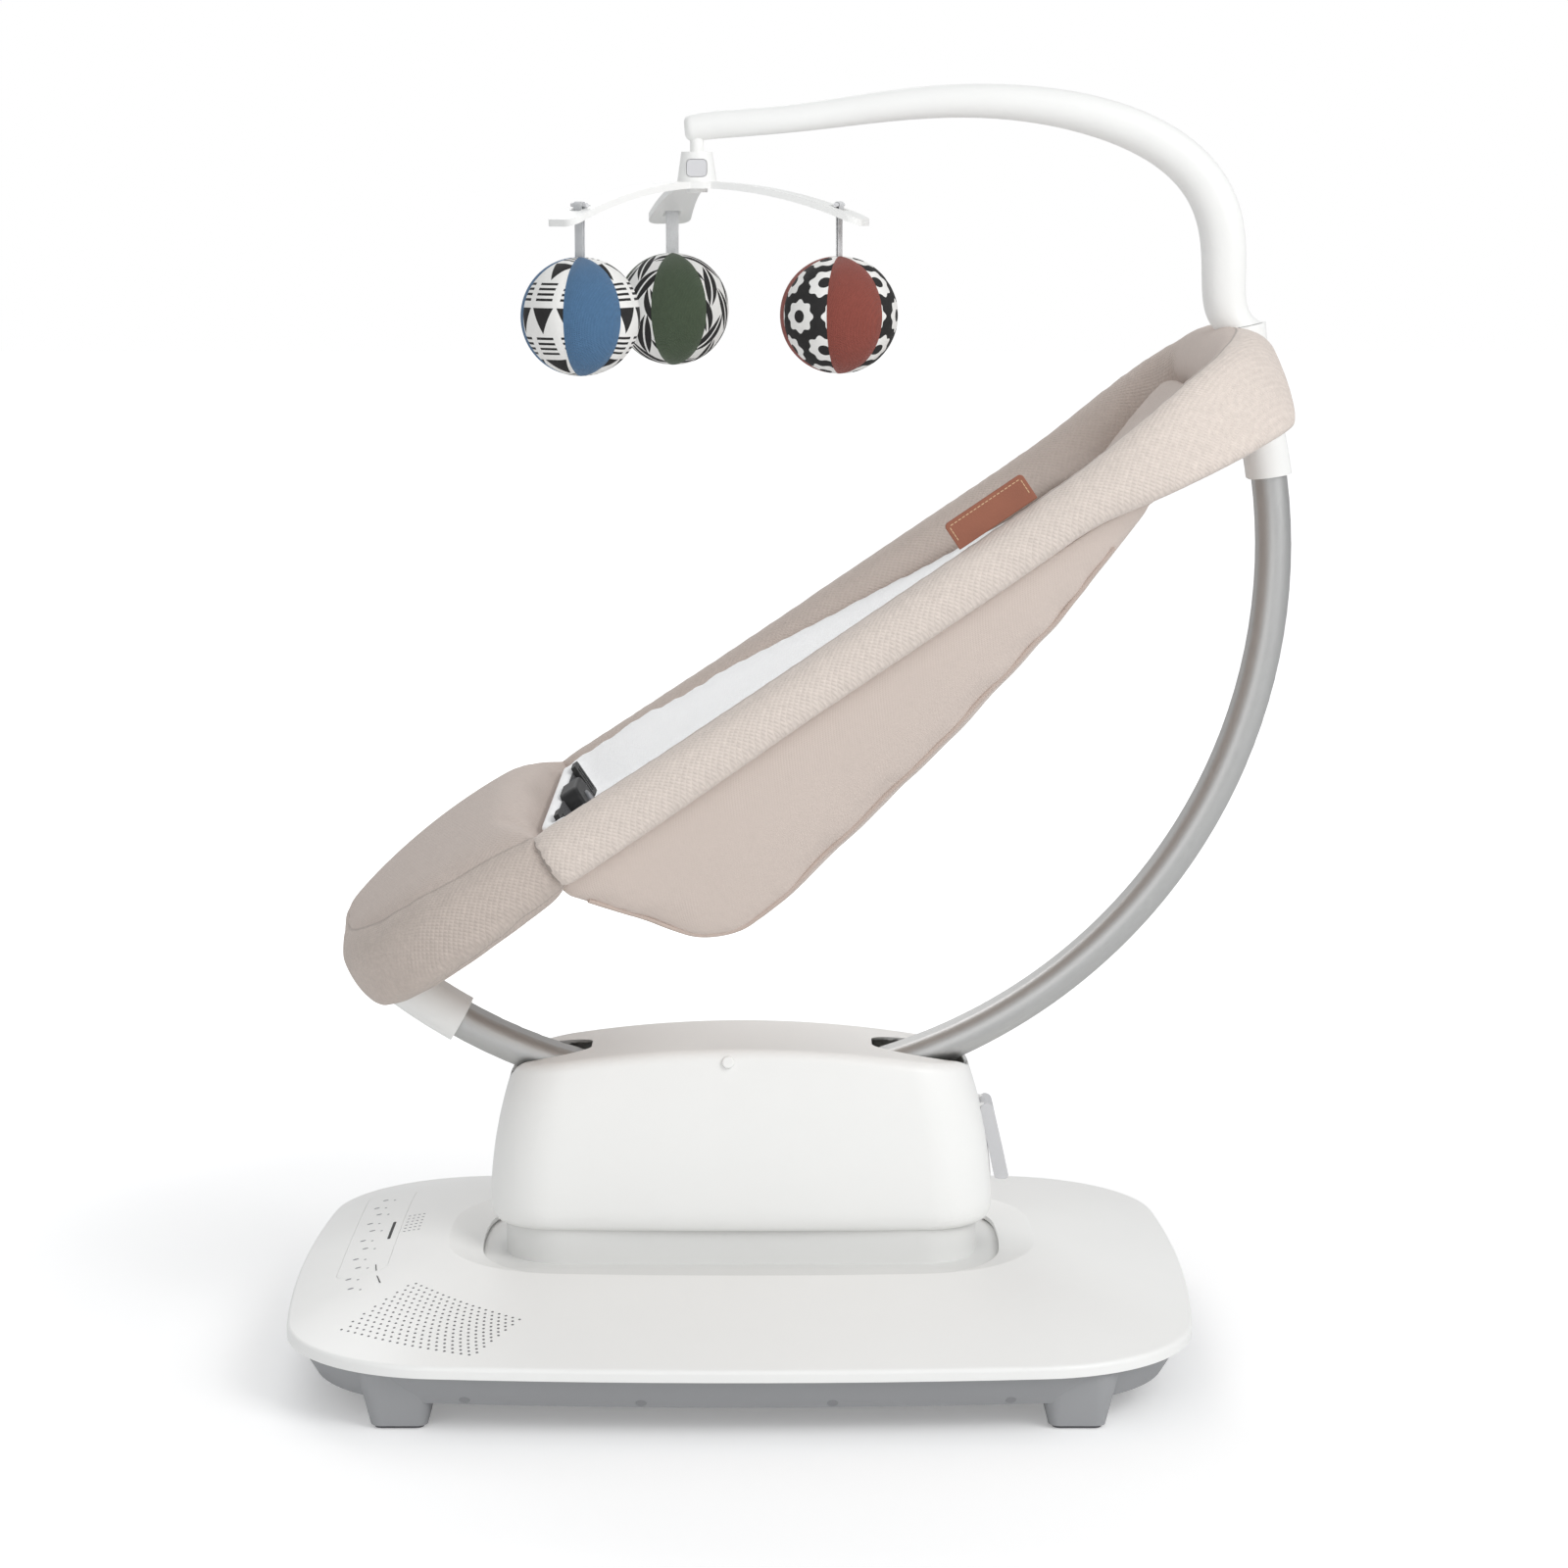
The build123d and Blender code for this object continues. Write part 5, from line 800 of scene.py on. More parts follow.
# %% Sling
SLING_SIDE = [
    (0.246, -0.047), (0.150, -0.0815), (0.060, -0.1055), (-0.020, -0.122),
    (-0.092, -0.1345), (-0.128, -0.1365), (-0.152, -0.127), (-0.204, -0.046),
]
SLING_TOP, SLING_ROUND, SLING_SWELL, SLING_THICK = -0.020, 0.012, 0.003, 0.0018
SLING_HALF, SLING_TAPER = 0.158, 0.489  # half width under the rim, and what it gains for each metre up
SLING_CUTS = (((0, 0, -0.041), (0, 0, 1)), ((0.205, 0, -0.041), (0.152, 0, 0.988)))
STRIP_FROM, STRIP_HALF, STRIP_TOP = 0.19, 0.150, -0.050  # the strip under the liner's head


def sling_half(d):
    """Half width of the sling at a depth."""
    return SLING_HALF + SLING_TAPER * (d + BAND)


bm = bmesh.new()
side_view = [bm.verts.new((s, 0, d)) for s, d in SLING_SIDE + [(-0.204, SLING_TOP), (0.246, SLING_TOP)]]
bm.faces.new(side_view)
bmesh.ops.bevel(bm, geom=side_view[4:7], offset=SLING_ROUND, segments=3, affect="VERTICES", **ROUND)
far_side = set(extruded(bm))
for v in bm.verts:
    v.co.y = sling_half(v.co.z) * (1 if v in far_side else -1)
sling = into_scene(bm, "sling")
puff(sling, SLACK, SLING_SWELL, rounds=2)
bm = bmesh.new()
bm.from_mesh(sling.data)
bmesh.ops.transform(bm, matrix=SEAT_BACK, verts=bm.verts)
for point, normal in SLING_CUTS:
    slice_at(bm, point, normal, clear_outer=True)
for v in bm.verts:
    if v.co.x > STRIP_FROM and abs(v.co.y) < STRIP_HALF:
        v.co.z = min(v.co.z, STRIP_TOP)
bmesh.ops.transform(bm, matrix=SEAT, verts=bm.verts)
sling_area = sum(f.calc_area() for f in bm.faces)
bm.to_mesh(sling.data)
bm.free()
modify(sling, "SOLIDIFY", thickness=SLING_THICK, offset=-1)
refine(sling)
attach(sling, "seat")
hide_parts("seat_bucket")
coat(sling, cloth("sling_cloth", srgb(215, 201, 192), 2.4, 0.18, 0.025, 0.4, 0.7))
print("sling: %.3f square metres" % sling_area)

# %% [markdown]
# A piped seam joins each side panel to the belly. A curve with a round section follows the side view, and
# each of its points is first moved onto the swollen cloth, so the piping lies on it all the way. The curve is
# then turned into a mesh, because a curve's box also counts the radius of its points.

# %% Piping
PIPING_RADIUS, PIPING_STEP, PIPING_TOP = 0.0016, 0.02, -0.054


def skin_of(mesh):
    """Search tree over a mesh's faces."""
    return BVHTree.FromPolygons([v.co for v in mesh.vertices], [p.vertices for p in mesh.polygons])


route = []
for (s0, d0), (s1, d1) in zip(SLING_SIDE[:-1], SLING_SIDE[1:]):
    steps = max(1, round(math.hypot(s1 - s0, d1 - d0) / PIPING_STEP))
    route += [(s0 + (s1 - s0) * k / steps, d0 + (d1 - d0) * k / steps) for k in range(steps)]
route = [(s, d) for s, d in route if d < PIPING_TOP]
sling_skin = skin_of(sling.data)
for name, side in (("piping_front", -1), ("piping_back", 1)):
    path = bpy.data.curves.new(name + "_path", "CURVE")
    path.dimensions = "3D"
    path.bevel_depth = PIPING_RADIUS
    path.bevel_resolution = 3
    path.use_fill_caps = True
    spline = path.splines.new("NURBS")
    spline.points.add(len(route) - 1)
    for point, (s, d) in zip(spline.points, route):
        spot, normal, _, _ = sling_skin.find_nearest(SEAT @ Vector((s, side * sling_half(d), d)))
        point.co = (*(spot + normal * PIPING_RADIUS / 4), 1)
    spline.use_endpoint_u = True
    spline.order_u = 3
    tube = link(path.name, path)
    piping = link(name, bpy.data.meshes.new_from_object(evaluated(tube)))
    bpy.data.objects.remove(tube)
    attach(piping, "seat")
    piping.data.materials.clear()
    coat(piping, cloth(name + "_cloth", srgb(199, 182, 172), 2.4, 0.2, 0.03, 0.4, 0.7))
    print(name, len(route), "points")

# %% [markdown]
# ## Liner
#
# The white liner is a thick quilted pad in the well. Its plain solid already has the right shape, so a merged
# copy of it is remeshed and swollen. Its upper wall is then stretched or squeezed to the edge line of the
# photograph, which stands a little above the rim at the foot and sinks to the head, and sewn lines are
# pressed in: long ones beside the spine and short ones across. A faint glow is painted light, which brightens
# the white padding in the shaded well. The part behind the head is sewn from the cover's darker cloth.

# %% Liner
LINER_FOLD, LINER_TOP = -0.0508, -0.010  # levels between which the wall is stretched
LINER_EDGE = [
    (-0.19, -0.002), (-0.12, -0.003), (-0.06, -0.009), (0.05, -0.024),
    (0.14, -0.034), (0.20, -0.040), (0.37, -0.042),
]
LINER_HEAD = 0.236
WALL_INSET, WALL_FADE = 0.060, 0.010
SLOPE_FROM, SLOPE_FADE = -0.10, 0.04
QUILT_HALF, QUILT_TOP, QUILT_START = 0.135, -0.030, -0.20
QUILT_PITCH, QUILT_SPINE, QUILT_DEEP, QUILT_WIDE = 0.062, 0.062, 0.0024, 0.0045
LINER_SWELL, LINER_VOXEL = 0.002, 0.0048
MERGE = 0.00002
bm = bmesh.new()
bm.from_mesh(frame["nodes"]["seat_liner"].data)
bmesh.ops.remove_doubles(bm, verts=bm.verts, dist=MERGE)
liner = into_scene(bm, "liner", Matrix())
puff(liner, SLACK, LINER_SWELL, LINER_VOXEL, rounds=8)
local = seat_points(liner.data)
edge = np.interp(local[:, 0], *zip(*LINER_EDGE))
above = np.maximum(local[:, 2] - LINER_FOLD, 0)
in_wall = np.clip((WALL_INSET - inset_at(local[:, 0], local[:, 1])) / WALL_FADE, 0, 1)
in_wall = np.maximum(in_wall, np.clip((SLOPE_FROM - local[:, 0]) / SLOPE_FADE, 0, 1))
squeeze = (edge - LINER_FOLD) / (LINER_TOP - LINER_FOLD) - 1
local[:, 2] += above * squeeze * in_wall
put_seat_points(liner.data, local)
inside = (np.abs(local[:, 1]) < QUILT_HALF) & (local[:, 2] < QUILT_TOP)
across = np.abs(((local[:, 0] - QUILT_START) / QUILT_PITCH + 0.5) % 1.0 - 0.5) * QUILT_PITCH
along = np.abs(np.abs(local[:, 1]) - QUILT_SPINE)
press_line(liner, np.where(inside, np.minimum(across, along), 1.0), QUILT_DEEP, QUILT_WIDE)
refine(liner)
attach(liner, "seat")
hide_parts("seat_liner")
quilt = cloth("white_quilt_painted_glow", srgb(243, 243, 243), 1.8, 0.25, 0.02, 0.4, 0.85)
tree = quilt.node_tree
# The faint glow is painted light that brightens the white padding in the shaded well.
fill(tree, tree.nodes["Principled BSDF"], Emission_Color=DAYLIGHT, Emission_Strength=0.12)
coat(liner, quilt, cloth("head_panel_cloth", TAUPE, 1.0, 0.5, 0.11, 0.3, 0.9))
along_seat = seat_points(liner.data)[:, 0]
for face in liner.data.polygons:
    face.material_index = int(min(along_seat[v] for v in face.vertices) > LINER_HEAD)
print("liner:", len(liner.data.vertices), "vertices")

# %% [markdown]
# ## Harness webbing
#
# A crotch strap runs up the foot slope to the buckle, and a waist strap runs from each side. Webbing is a
# flat band with a rolled edge, so each strap is a thin bevelled slab. Its place is read from the plain solid
# that it replaces.

# %% Straps
WEB_THICK, WEB_EDGE = 0.0016, 0.0005
CROTCH_HALF, WAIST_HALF = 0.0125, 0.010
BEND_FROM, BEND_TO = -0.055, -0.050  # levels between which the crotch strap bends
WAIST_STEPS = 4


def slab(name, rows, thick, edge, body, place):
    """Flat band through a row of cross lines: each entry is (centre, half width vector)."""
    bm = bmesh.new()
    lines = [(bm.verts.new(centre - half), bm.verts.new(centre + half)) for centre, half in rows]
    for (a, b), (c, d) in zip(lines[:-1], lines[1:]):
        bm.faces.new((a, b, d, c))
    bmesh.ops.subdivide_edges(bm, edges=bm.edges[:], cuts=2, use_grid_fill=True)
    obj = into_scene(bm, name, place)
    modify(obj, "SOLIDIFY", thickness=thick, offset=0)
    modify(obj, "BEVEL", width=edge, segments=2)
    obj.data.shade_smooth()
    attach(obj, body)
    return obj


def in_seat(node):
    """Vertices of a plain node in the seat's own frame."""
    return [SEAT_BACK @ v.co for v in frame["nodes"][node].data.vertices]


def strap(name, rows):
    """One length of webbing on the seat."""
    band = slab(name, rows, WEB_THICK, WEB_EDGE, "seat", SEAT)
    coat(band, finish["webbing"])
    return band


points = in_seat("crotch_strap")
top, low = max(points, key=lambda p: p.z), min(points, key=lambda p: p.z)
bends = [p for p in points if BEND_FROM < p.z < BEND_TO]
bend = max(bends, key=lambda p: p.x, default=(top + low) / 2)
half = Vector((0, CROTCH_HALF, 0))
crotch = strap("crotch_webbing", [(Vector((p.x - WEB_THICK / 4, 0, p.z)), half) for p in (top, bend, low)])
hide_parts("crotch_strap")
points = in_seat("waist_straps")
s, d = (sum(p[axis] for p in points) / len(points) for axis in (0, 2))
inner, outer = min(abs(p.y) for p in points), max(p.y for p in points)
half = Vector((0, 0, WAIST_HALF))
for name, side in (("waist_webbing_front", -1), ("waist_webbing_back", 1)):
    reach = [side * (inner + (outer - inner) * k / WAIST_STEPS) for k in range(WAIST_STEPS + 1)]
    strap(name, [(Vector((s, y, d)), half) for y in reach])
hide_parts("waist_straps")

# %% [markdown]
# ## Leather tag
#
# A blank brown leather tag is sewn into the crest on the near side. It is a small slab with two rounded
# corners and soft edges; its lower edge goes on into the crest. A row of pale stitches runs a little inside
# its border.

# %% Leather tag
TAG_ROOT, TAG_THICK, TAG_CORNER, TAG_EDGE = 0.005, 0.0022, 0.003, 0.0006
points = in_seat("side_tag")
tag_low, tag_high = (Vector([pick(p[i] for p in points) for i in range(3)]) for pick in (min, max))
tag_size = tag_high - tag_low
tag_place = SEAT @ Matrix.Translation((tag_low + tag_high) / 2)
bm = bmesh.new()
bmesh.ops.create_cube(bm, size=1.0)
bmesh.ops.scale(bm, vec=(tag_size.x, TAG_THICK, tag_size.z), verts=bm.verts)
for v in bm.verts:
    v.co.z -= TAG_ROOT * (v.co.z < 0)
through = [e for e in bm.edges if abs((e.verts[0].co - e.verts[1].co).normalized().y) > 0.9]
round_off(bm, [e for e in through if e.verts[0].co.z > 0], TAG_CORNER, 4)
round_off(bm, [e for e in bm.edges if e.calc_face_angle(0) > 1.0], TAG_EDGE, 2)
tag = into_scene(bm, "leather_tag", tag_place)
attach(tag, "seat")
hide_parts("side_tag")
leather, tree, shader = start("brown_leather")
here = add(tree, "TexCoord").outputs["Object"]
pores = add(tree, "TexVoronoi", Vector=here, Scale=900.0).outputs["Distance"]
wear = noise(tree, here, 60.0, 4.0)
fill(
    tree, shader,
    Base_Color=tones(tree, wear, srgb(150, 92, 70), 0.82, 1.12),
    Roughness=spread(tree, wear, 0.45, 0.65),
    Normal=bump(tree, pores, 0.35, 0.0004),
)
coat(tag, leather)
print("tag: %.0f by %.0f mm" % (tag_size.x * 1000, tag_size.z * 1000))

# %% [markdown]
# Each stitch is a tiny bar. One list holds the places along the top and both sides of the border, and whether
# the stitch runs up or across; both faces of the tag get the same row.

# %% Stitches
STITCH, THREAD_WIDE, THREAD_HIGH = 0.0019, 0.0005, 0.0004
BORDER, STITCH_GAP = 0.0026, 0.002
TOP_STITCHES, SIDE_STITCHES = 18, 4
STITCH_LIFT = 0.00115  # from the middle of the leather
side_x, top_z = tag_size.x / 2 - BORDER, tag_size.z / 2 - BORDER
border = [(x, top_z, False) for x in np.linspace(-side_x + STITCH_GAP, side_x - STITCH_GAP, TOP_STITCHES)]
up = np.linspace(-top_z - STITCH_GAP / 2, top_z - STITCH_GAP, SIDE_STITCHES)
border += [(x, z, True) for x in (-side_x, side_x) for z in up]
bm = bmesh.new()
for face_side in (-1, 1):
    for x, z, upright in border:
        made = bmesh.ops.create_cube(bm, size=1.0)["verts"]
        wide, high = (THREAD_WIDE, STITCH) if upright else (STITCH, THREAD_WIDE)
        bmesh.ops.scale(bm, vec=(wide, THREAD_HIGH, high), verts=made)
        bmesh.ops.translate(bm, vec=(x, face_side * STITCH_LIFT, z), verts=made)
stitches = into_scene(bm, "tag_stitches", tag_place)
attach(stitches, "seat")
coat(stitches, cloth("stitch_thread", srgb(226, 198, 160), 3.0, 0.3, 0.08))
print("stitches:", 2 * len(border))

# %% [markdown]
# ## Prints of the balls
#
# A print is arithmetic on the flat place in a gore: `cell` repeats a small square, and a few comparisons
# inside it give 1 for paper and 0 for ink. All three prints are plain motifs of rings, leaves and wedges.

# %% Print patterns
RING_CELL, LEAF_CELL, LEAF_TALL, WEDGE_CELL, WEDGE_TALL = 0.0277, 0.0215, 0.036, 0.019, 0.036
# Sizes inside a cell are shares of it.
RING_TALL, RING_EDGE, RING_WAVE, RING_HOLE, PETALS = 1.7, 0.37, 0.035, 0.15, 8.0
LEAF_LEAN, LEAF_HALF, LEAF_POINT, VEIN = 0.62, 0.26, 1.25, 0.035
WEDGE_SLOPE, WEDGE_HALF, WEDGE_TOP = 0.95, 0.46, -0.02
STRIPES, STRIPE_SHARE, STRIPES_FROM, STRIPE_HALF = 62.0, 0.1, 0.06, 0.36


def flat_place(tree):
    """The two flat coordinates of a gore."""
    parts = add(tree, "SeparateXYZ", Vector=add(tree, "UVMap", uv_map="cut").outputs[0]).outputs
    return parts["X"], parts["Y"]


def cell(do, value, size, shift):
    """Place inside a repeating cell, from -0.5 to 0.5."""
    return do("SUBTRACT", do("FRACT", do("ADD", do("DIVIDE", value, size), shift)), 0.5)


def ring_print(do, x, y):
    """White rings with a wavy edge on black: two grids, the second one half a cell off."""
    found = 0.0
    for shift in (0.0, 0.5):
        u = cell(do, x, RING_CELL, shift)
        v = do("MULTIPLY", cell(do, y, RING_CELL * RING_TALL, shift), RING_TALL)
        far = do("SQRT", do("ADD", do("MULTIPLY", u, u), do("MULTIPLY", v, v)))
        wave = do("COSINE", do("MULTIPLY", do("ARCTAN2", v, u), PETALS))
        edge = do("ADD", do("MULTIPLY", wave, RING_WAVE), RING_EDGE)
        ring = do("MULTIPLY", do("LESS_THAN", far, edge), do("GREATER_THAN", far, RING_HOLE))
        found = do("MAXIMUM", found, ring)
    return found


def leaf_print(do, x, y):
    """Black pointed leaves on white, leaning left and right in turn."""
    found = 0.0
    for shift, lean in ((0.0, LEAF_LEAN), (0.5, -LEAF_LEAN)):
        u, v = cell(do, x, LEAF_CELL, shift), cell(do, y, LEAF_TALL, shift)
        off_vein = do("ABSOLUTE", do("SUBTRACT", u, do("MULTIPLY", v, lean)))
        half = do("SUBTRACT", LEAF_HALF, do("MULTIPLY", do("MULTIPLY", v, v), LEAF_POINT))
        leaf = do("MULTIPLY", do("LESS_THAN", off_vein, half), do("GREATER_THAN", off_vein, VEIN))
        found = do("MAXIMUM", found, leaf)
    return do("SUBTRACT", 1.0, found)


def wedge_print(do, x, y):
    """Rows of black wedges and rows of thin stripes on white."""
    u, v = do("ABSOLUTE", cell(do, x, WEDGE_CELL, 0.25)), cell(do, y, WEDGE_TALL, 0.3)
    half = do("ADD", do("MULTIPLY", v, WEDGE_SLOPE), WEDGE_HALF)
    wedge = do("MULTIPLY", do("LESS_THAN", u, half), do("LESS_THAN", v, WEDGE_TOP))
    lines = do("GREATER_THAN", do("SINE", do("MULTIPLY", v, STRIPES)), STRIPE_SHARE)
    band = do("MULTIPLY", do("GREATER_THAN", v, STRIPES_FROM), do("LESS_THAN", u, STRIPE_HALF))
    return do("SUBTRACT", 1.0, do("MAXIMUM", wedge, do("MULTIPLY", lines, band)))


def printed_cloth(name, pattern):
    """Cotton with a black-and-white print."""
    material, tree, shader = start(name)
    effect = use_group(tree, knit_group, Pitch=2.6, Fuzz=0.3)
    paper = pattern(partial(sums, tree), *flat_place(tree))
    fill(
        tree, shader,
        Base_Color=blend_colours(tree, paper, srgb(34, 33, 33), srgb(240, 239, 236)),
        Roughness=spread(tree, effect["Heather"], 0.75, 0.9),
        Normal=bump(tree, effect["Height"], 0.2, 0.0005),
    )
    return material


print("prints: rings, leaves, wedges")

# %% [markdown]
# ## Stuffed balls
#
# Each ball is sewn from six gores, plain linen and a black-and-white print in turn. A UV sphere has an edge
# on every seam when its meridians divide by six, so the seams can be pressed in along real edges and each
# gore gets its own material. A UV map named *cut* lays the gores out flat in metres, so that the prints keep
# their scale.

# %% Balls
GORE = math.pi / 3
SEAM_PRESS, SEAM_HALF, POLE_PRESS = 0.030, 0.0024, 0.012
BALLS = {
    "red": (math.radians(-73), srgb(146, 78, 68), ring_print),
    "green": (math.radians(-81), srgb(82, 96, 76), leaf_print),
    "blue": (math.radians(-74), srgb(82, 118, 154), wedge_print),
}


def node_box(node):
    """Two corners of a CAD node's box."""
    return (Vector(corner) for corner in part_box(node))


def sewn_ball(name, radius, middle, face_turn):
    """Ball of six gores with pressed seams, a cut map, and material 1 on every second gore."""
    bm = bmesh.new()
    bmesh.ops.create_uvsphere(bm, u_segments=72, v_segments=36, radius=radius)
    bmesh.ops.rotate(bm, cent=(0, 0, 0), matrix=Matrix.Rotation(face_turn + GORE / 2, 3, "Z"), verts=bm.verts)
    flat = bm.loops.layers.uv.new("cut")
    for face in bm.faces:
        centre = face.calc_center_median()
        gore = int(((math.atan2(centre.y, centre.x) - face_turn) / GORE + 0.5) % 6)
        face.material_index = gore % 2
        for loop in face.loops:
            co = loop.vert.co
            level = math.asin(max(-1.0, min(1.0, co.z / radius)))
            turn = math.atan2(co.y, co.x) - face_turn - gore * GORE
            turn = (turn + math.pi) % math.tau - math.pi
            loop[flat].uv = (turn * radius * math.cos(level), level * radius)
    for v in bm.verts:
        out = math.hypot(v.co.x, v.co.y)
        turn = (math.atan2(v.co.y, v.co.x) - face_turn) / GORE + 0.5
        off_seam = abs(turn - round(turn)) * GORE * out
        sunk = SEAM_PRESS * math.exp(-((off_seam / SEAM_HALF) ** 2)) * min(1.0, 2.5 * out / radius)
        v.co *= 1 - sunk - POLE_PRESS * (1 - out / radius) ** 2
    return into_scene(bm, name, Matrix.Translation(middle))


for colour, (face_turn, linen, pattern) in BALLS.items():
    low, high = node_box("ball_" + colour)
    radius = (high.z - low.z) / 2
    ball = sewn_ball("stuffed_ball_" + colour, radius, (low + high) / 2, face_turn)
    plain = cloth(colour + "_linen", linen, 2.2, 0.5, 0.16, 0.5, 0.9)
    coat(ball, plain, printed_cloth(colour + "_print", pattern))
    refine(ball)
    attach(ball, "toy_" + colour)
    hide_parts("ball_" + colour)
    print(ball.name, "radius %.1f mm" % (radius * 1000))

# %% [markdown]
# ## Ribbons
#
# A grey ribbon hangs from a small bar in each paddle and is sewn into the ball's top. It is one narrow strip
# that wraps the bar, so its cross lines follow the bar's half circle and then drop straight down.

# %% Ribbons
MOBILE_TURN = math.radians(-18.8)
RIBBON_HALF, RIBBON_THICK, RIBBON_EDGE = 0.00425, 0.0006, 0.0002
BAR_RADIUS, BAR_LONG, BAR_DOWN = 0.0014, 0.0158, 0.0015
WRAP, PINCH = 0.0019, -0.004  # the ribbon's radius round the bar, and where its two sides meet
TUCK = 0.001  # into the ball
NIP, APART = 0.0007, 0.0006  # half the gap between the two sides, under the bar and further down
for k, colour in enumerate(BALLS):
    low, high = node_box("ribbon_" + colour)
    middle = (low + high) / 2
    middle.z = high.z - BAR_DOWN
    place = Matrix.Translation(middle) @ Matrix.Rotation(MOBILE_TURN + k * math.tau / 3, 4, "Z")
    drop = low.z - middle.z - TUCK
    fall = [(NIP, PINCH), (APART, drop * 0.5), (APART, drop)]
    arc = np.linspace(math.radians(200), math.radians(-20), 9)
    wrap = [(-x, z) for x, z in reversed(fall)]
    wrap += [(WRAP * math.cos(t), WRAP * math.sin(t)) for t in arc] + fall
    rows = [(Vector((x, 0, z)), Vector((0, RIBBON_HALF, 0))) for x, z in wrap]
    ribbon = slab("hanging_ribbon_" + colour, rows, RIBBON_THICK, RIBBON_EDGE, "toy_" + colour, place)
    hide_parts("ribbon_" + colour)
    coat(ribbon, finish["ribbon_grey"])
    bm = bmesh.new()
    bmesh.ops.create_cone(
        bm, cap_ends=True, segments=20, radius1=BAR_RADIUS, radius2=BAR_RADIUS, depth=BAR_LONG,
        matrix=Matrix.Rotation(math.pi / 2, 4, "X"),
    )
    bar = into_scene(bm, "ribbon_bar_" + colour, place)
    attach(bar, "toy_" + colour)
    coat(bar, finish["clip_grey"])
    print(ribbon.name, "drop %.0f mm" % (-drop * 1000))

# %% [markdown]
# ## Rolled lower edge of the tower
#
# The tower's shell turns inwards a little at its lower edge. A copy of the plain shell is cut at a few levels
# near the bottom with `bisect_plane`, which adds a ring of vertices at each level, and every vertex below the
# top level moves inwards by a quarter-circle rule. The weighted normals keep the large faces smooth beside
# the thin new ones.

# %% Tower shell
ROLL_HEIGHT, ROLL_DEPTH = 0.014, 0.005
ROLL_LEVELS = (0.08, 0.18, 0.3, 0.45, 0.62, 0.8, 1.0)
TOWER_CORNER = 0.046
low, high = node_box("tower_housing")
tower_x, tower_half = (low.x + high.x) / 2, (high - low) / 2
bm = bmesh.new()
bm.from_mesh(frame["nodes"]["tower_housing"].data)
bmesh.ops.remove_doubles(bm, verts=bm.verts, dist=MERGE / 2)
for level in ROLL_LEVELS:
    slice_at(bm, (0, 0, low.z + level * ROLL_HEIGHT), (0, 0, 1), dist=0.000001)
for v in bm.verts:
    drop = 1 - (v.co.z - low.z) / ROLL_HEIGHT
    if drop > 0:
        past_x = max(abs(v.co.x - tower_x) - tower_half.x + TOWER_CORNER, 0.0)
        past_y = max(abs(v.co.y) - tower_half.y + TOWER_CORNER, 0.0)
        inward = Vector((past_x, past_y)).normalized() * ROLL_DEPTH * (1 - math.sqrt(1 - 0.98 * drop * drop))
        v.co.x -= math.copysign(inward.x, v.co.x - tower_x)
        v.co.y -= math.copysign(inward.y, v.co.y)
tower_shell = into_scene(bm, "tower_shell", Matrix())
tower_shell.data.shade_smooth()
tower_shell.data.set_sharp_from_angle(angle=math.radians(32))
modify(tower_shell, "WEIGHTED_NORMAL", keep_sharp=True)
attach(tower_shell, "tower")
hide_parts("tower_housing")
coat(tower_shell, finish["white_plastic"])
print("tower shell:", len(tower_shell.data.polygons), "faces")

# %% [markdown]
# ## Lock lever
#
# The lever is a moulded shell: a paddle that hugs the tower's wall, narrow at its hinge and wider at the
# grip. Its side view is one outline with a round end at the hinge, extruded across, open towards the tower,
# then given a wall with a solidify modifier and soft edges with a bevel.

# %% Lock lever
HINGE, HINGE_END = Vector((0.1336, 0.158)), 0.0047
LEVER_HALF = 0.0161
GRIP = (
    (0.1448, 0.1300), (0.1484, 0.1130), (0.1479, 0.1112), (0.1462, 0.1104),
    (0.1412, 0.1104), (0.1394, 0.1112), (0.1385, 0.1130),
)
arc = np.linspace(math.radians(190), math.radians(12), 11)
outline = [HINGE + HINGE_END * Vector((math.cos(t), math.sin(t))) for t in arc] + [Vector(p) for p in GRIP]
bm = bmesh.new()
near, far = ([bm.verts.new((p.x, side * LEVER_HALF, p.y)) for p in outline] for side in (-1, 1))
bm.faces.new(near)
bm.faces.new(far)
for k in range(len(outline) - 1):
    bm.faces.new((near[k], near[k + 1], far[k + 1], far[k]))
lever = into_scene(bm, "lever_shell", Matrix())
modify(lever, "SOLIDIFY", thickness=0.0014, offset=-1)
modify(lever, "BEVEL", width=0.0007, segments=2)
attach(lever, "lever")
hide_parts("recline_lever")
coat(lever, finish["lever_grey"])
print("lever:", len(lever.data.polygons), "faces")

# %% [markdown]
# ## Laying small details on a moulding
#
# The small details of the base lie on curved mouldings, so each is dropped onto the surface with a ray and
# turned to the surface's normal there. The rays meet the plain solids, whose faces are held in search trees.

# %% Laying on a surface
PROUD, FLAT = 0.00012, 0.0002  # how far a detail stands out, and how thick a flat one is
ABOVE, IN_FRONT = 0.3, -0.6  # where the rays start
MOULDINGS = ("base_cover", "control_panel", "base_tray", "tower_housing")
SKINS = {node: skin_of(frame["nodes"][node].data) for node in MOULDINGS}


def cast(nodes, start_at, along):
    """Nearest place where a ray meets one of the nodes, and the normal there."""
    hits = [SKINS[node].ray_cast(Vector(start_at), Vector(along)) for node in nodes]
    return min((h for h in hits if h[0] is not None), key=lambda h: h[3], default=None)


def on_panel(x, y):
    """Place on top of the base."""
    return cast(("base_cover", "control_panel"), (x, y, ABOVE), (0, 0, -1))


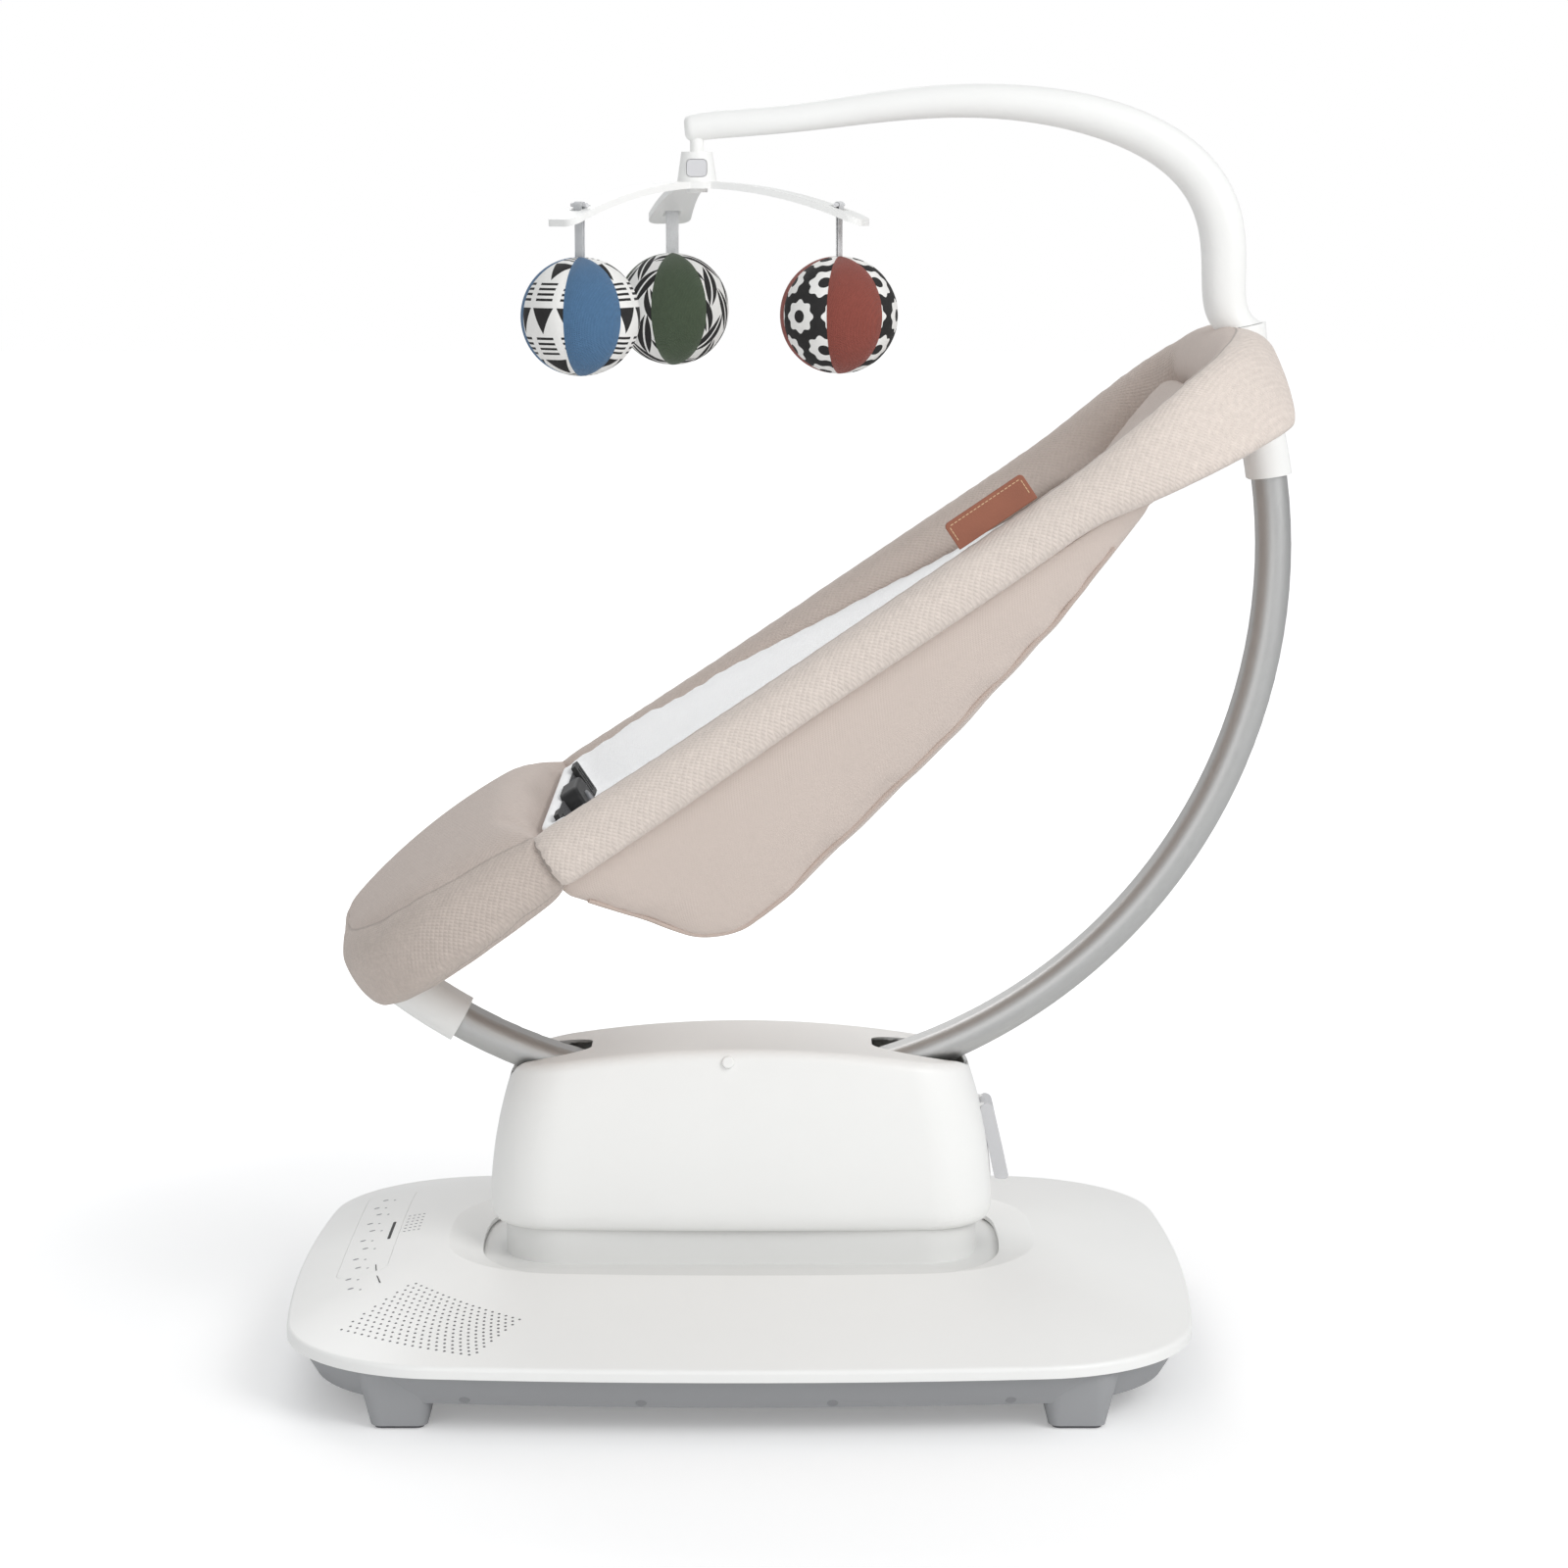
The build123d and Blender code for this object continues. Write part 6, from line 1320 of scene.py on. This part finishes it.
def lay(bm, where, size, segments, height=FLAT):
    """Adds a low round or oval button to a bmesh, lying on a surface."""
    place, normal = where[:2]
    facing = normal.to_track_quat("Z", "Y").to_matrix().to_4x4()
    spot = Matrix.Translation(place + normal * PROUD) @ facing @ Matrix.Diagonal((*size, 1, 1))
    bmesh.ops.create_cone(
        bm, cap_ends=True, segments=segments, radius1=1.0, radius2=0.9, depth=height, matrix=spot,
    )


def place_detail(bm, name, body, material):
    """Puts finished details on a body."""
    piece = into_scene(bm, name, Matrix())
    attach(piece, body)
    coat(piece, material)
    print(name, len(piece.data.polygons), "faces")
    return piece


print("surfaces to lay on:", ", ".join(MOULDINGS))

# %% [markdown]
# The speaker's holes fill a bowed four-sided patch, every second row half a hole off. The panel has three
# dark slots, each a row of short overlapping ovals that follows the curved cover, and a few plain marks where
# its keys are.

# %% Speaker and panel
SPEAKER = ((-0.286, -0.177), (-0.246, -0.112), (-0.172, -0.181), (-0.198, -0.226))
SPEAKER_ROWS, SPEAKER_COLUMNS = 14, 18
BOW = Vector((-0.25, -0.97)) * 0.007
HOLE = (0.0009, 0.0009)
SLOTS = (  # x, y, half length, turn
    (-0.2735, 0.023, 0.021, 0.0), (-0.2750, -0.068, 0.006, -0.12), (-0.2705, -0.096, 0.007, -0.22),
)
SLOT_HALF = 0.0017
KEY_ROW, KEY_X, DOT_X, DOT_BACK, STAGGER = (0.126, -0.105, 11), -0.2880, -0.2810, 0.006, 0.004
KEY, DOT, PIP = (0.0013, 0.0022), (0.0009, 0.0009), (0.0006, 0.0010)
PIP_ROWS, PIP_COLUMNS = (-0.2640, -0.2540, 4), (0.013, 0.055, 6)  # first, last, how many

bm = bmesh.new()
left, back, right, front = (Vector(c) for c in SPEAKER)
for i in range(SPEAKER_ROWS):
    for j in range(SPEAKER_COLUMNS):
        v = i / (SPEAKER_ROWS - 1)
        u = (j + 0.5 * (i % 2)) / (SPEAKER_COLUMNS - 0.5)
        spot = left.lerp(front, u).lerp(back.lerp(right, u), v) + BOW * math.sin(math.pi * u)
        where = on_panel(spot.x, spot.y)
        if where:
            lay(bm, where, HOLE, 10)
# Each hole is a flat grey disc whose colour is painted shade for the hollow of the hole.
place_detail(bm, "speaker_holes", "base", plastic("hole_shadow", srgb(112, 112, 114), 0.85))

bm = bmesh.new()
for x, y, long, turn in SLOTS:
    for step in np.linspace(-1, 1, 25):
        where = on_panel(x + step * long * math.sin(turn), y + step * long * math.cos(turn))
        lay(bm, where, (SLOT_HALF, long / 18), 12)
# Each slot is a row of flat black ovals: painted shade for the opening of the slot.
slots = place_detail(bm, "panel_slots", "base", finish["black_plastic"])

bm = bmesh.new()
for k, y in enumerate(np.linspace(*KEY_ROW)):
    lay(bm, on_panel(KEY_X - STAGGER * (k % 2), y), KEY, 10)
    lay(bm, on_panel(DOT_X - STAGGER * (k % 2), y - DOT_BACK), DOT, 10)
for x in np.linspace(*PIP_ROWS):
    for y in np.linspace(*PIP_COLUMNS):
        lay(bm, on_panel(x, y), PIP, 8)
place_detail(bm, "panel_marks", "base", plastic("panel_mark_grey", srgb(150, 151, 154), 0.7))

# %% [markdown]
# Shallow dimples run along the tray, and one small round plug sits high on the tower. The plug's ray follows
# the camera's own line of sight, so that it meets the tower where the photograph shows it.

# %% Dimples and plug
DIMPLES, DIMPLE_LEVEL = (-0.204, -0.093, 0.027, 0.139), 0.0215
DIMPLE, DIMPLE_HIGH = (0.0036, 0.0028), 0.0003
PLUG_X, PLUG_EYE, PLUG_RADIUS, PLUG_HIGH, PLUG_EDGE = -0.0406, 0.283, 0.0045, 0.0046, 0.0009
SIGHT = (0, 0.9885, -0.151)
bm = bmesh.new()
for x in DIMPLES:
    lay(bm, cast(("base_tray",), (x, IN_FRONT, DIMPLE_LEVEL), (0, 1, 0)), DIMPLE, 20, DIMPLE_HIGH)
# Each dimple is a flat disc whose darker grey is painted shade for the hollow.
dimples = place_detail(bm, "tray_dimples", "base", plastic("dimple_shadow", srgb(146, 147, 149), 0.7))

bm = bmesh.new()
where = cast(("tower_housing",), (PLUG_X, IN_FRONT, PLUG_EYE), SIGHT)
lay(bm, where, (PLUG_RADIUS, PLUG_RADIUS), 24, PLUG_HIGH)
round_off(bm, bm.edges[:], PLUG_EDGE, 2)
plug = place_detail(bm, "tower_plug", "tower", finish["white_plastic"])
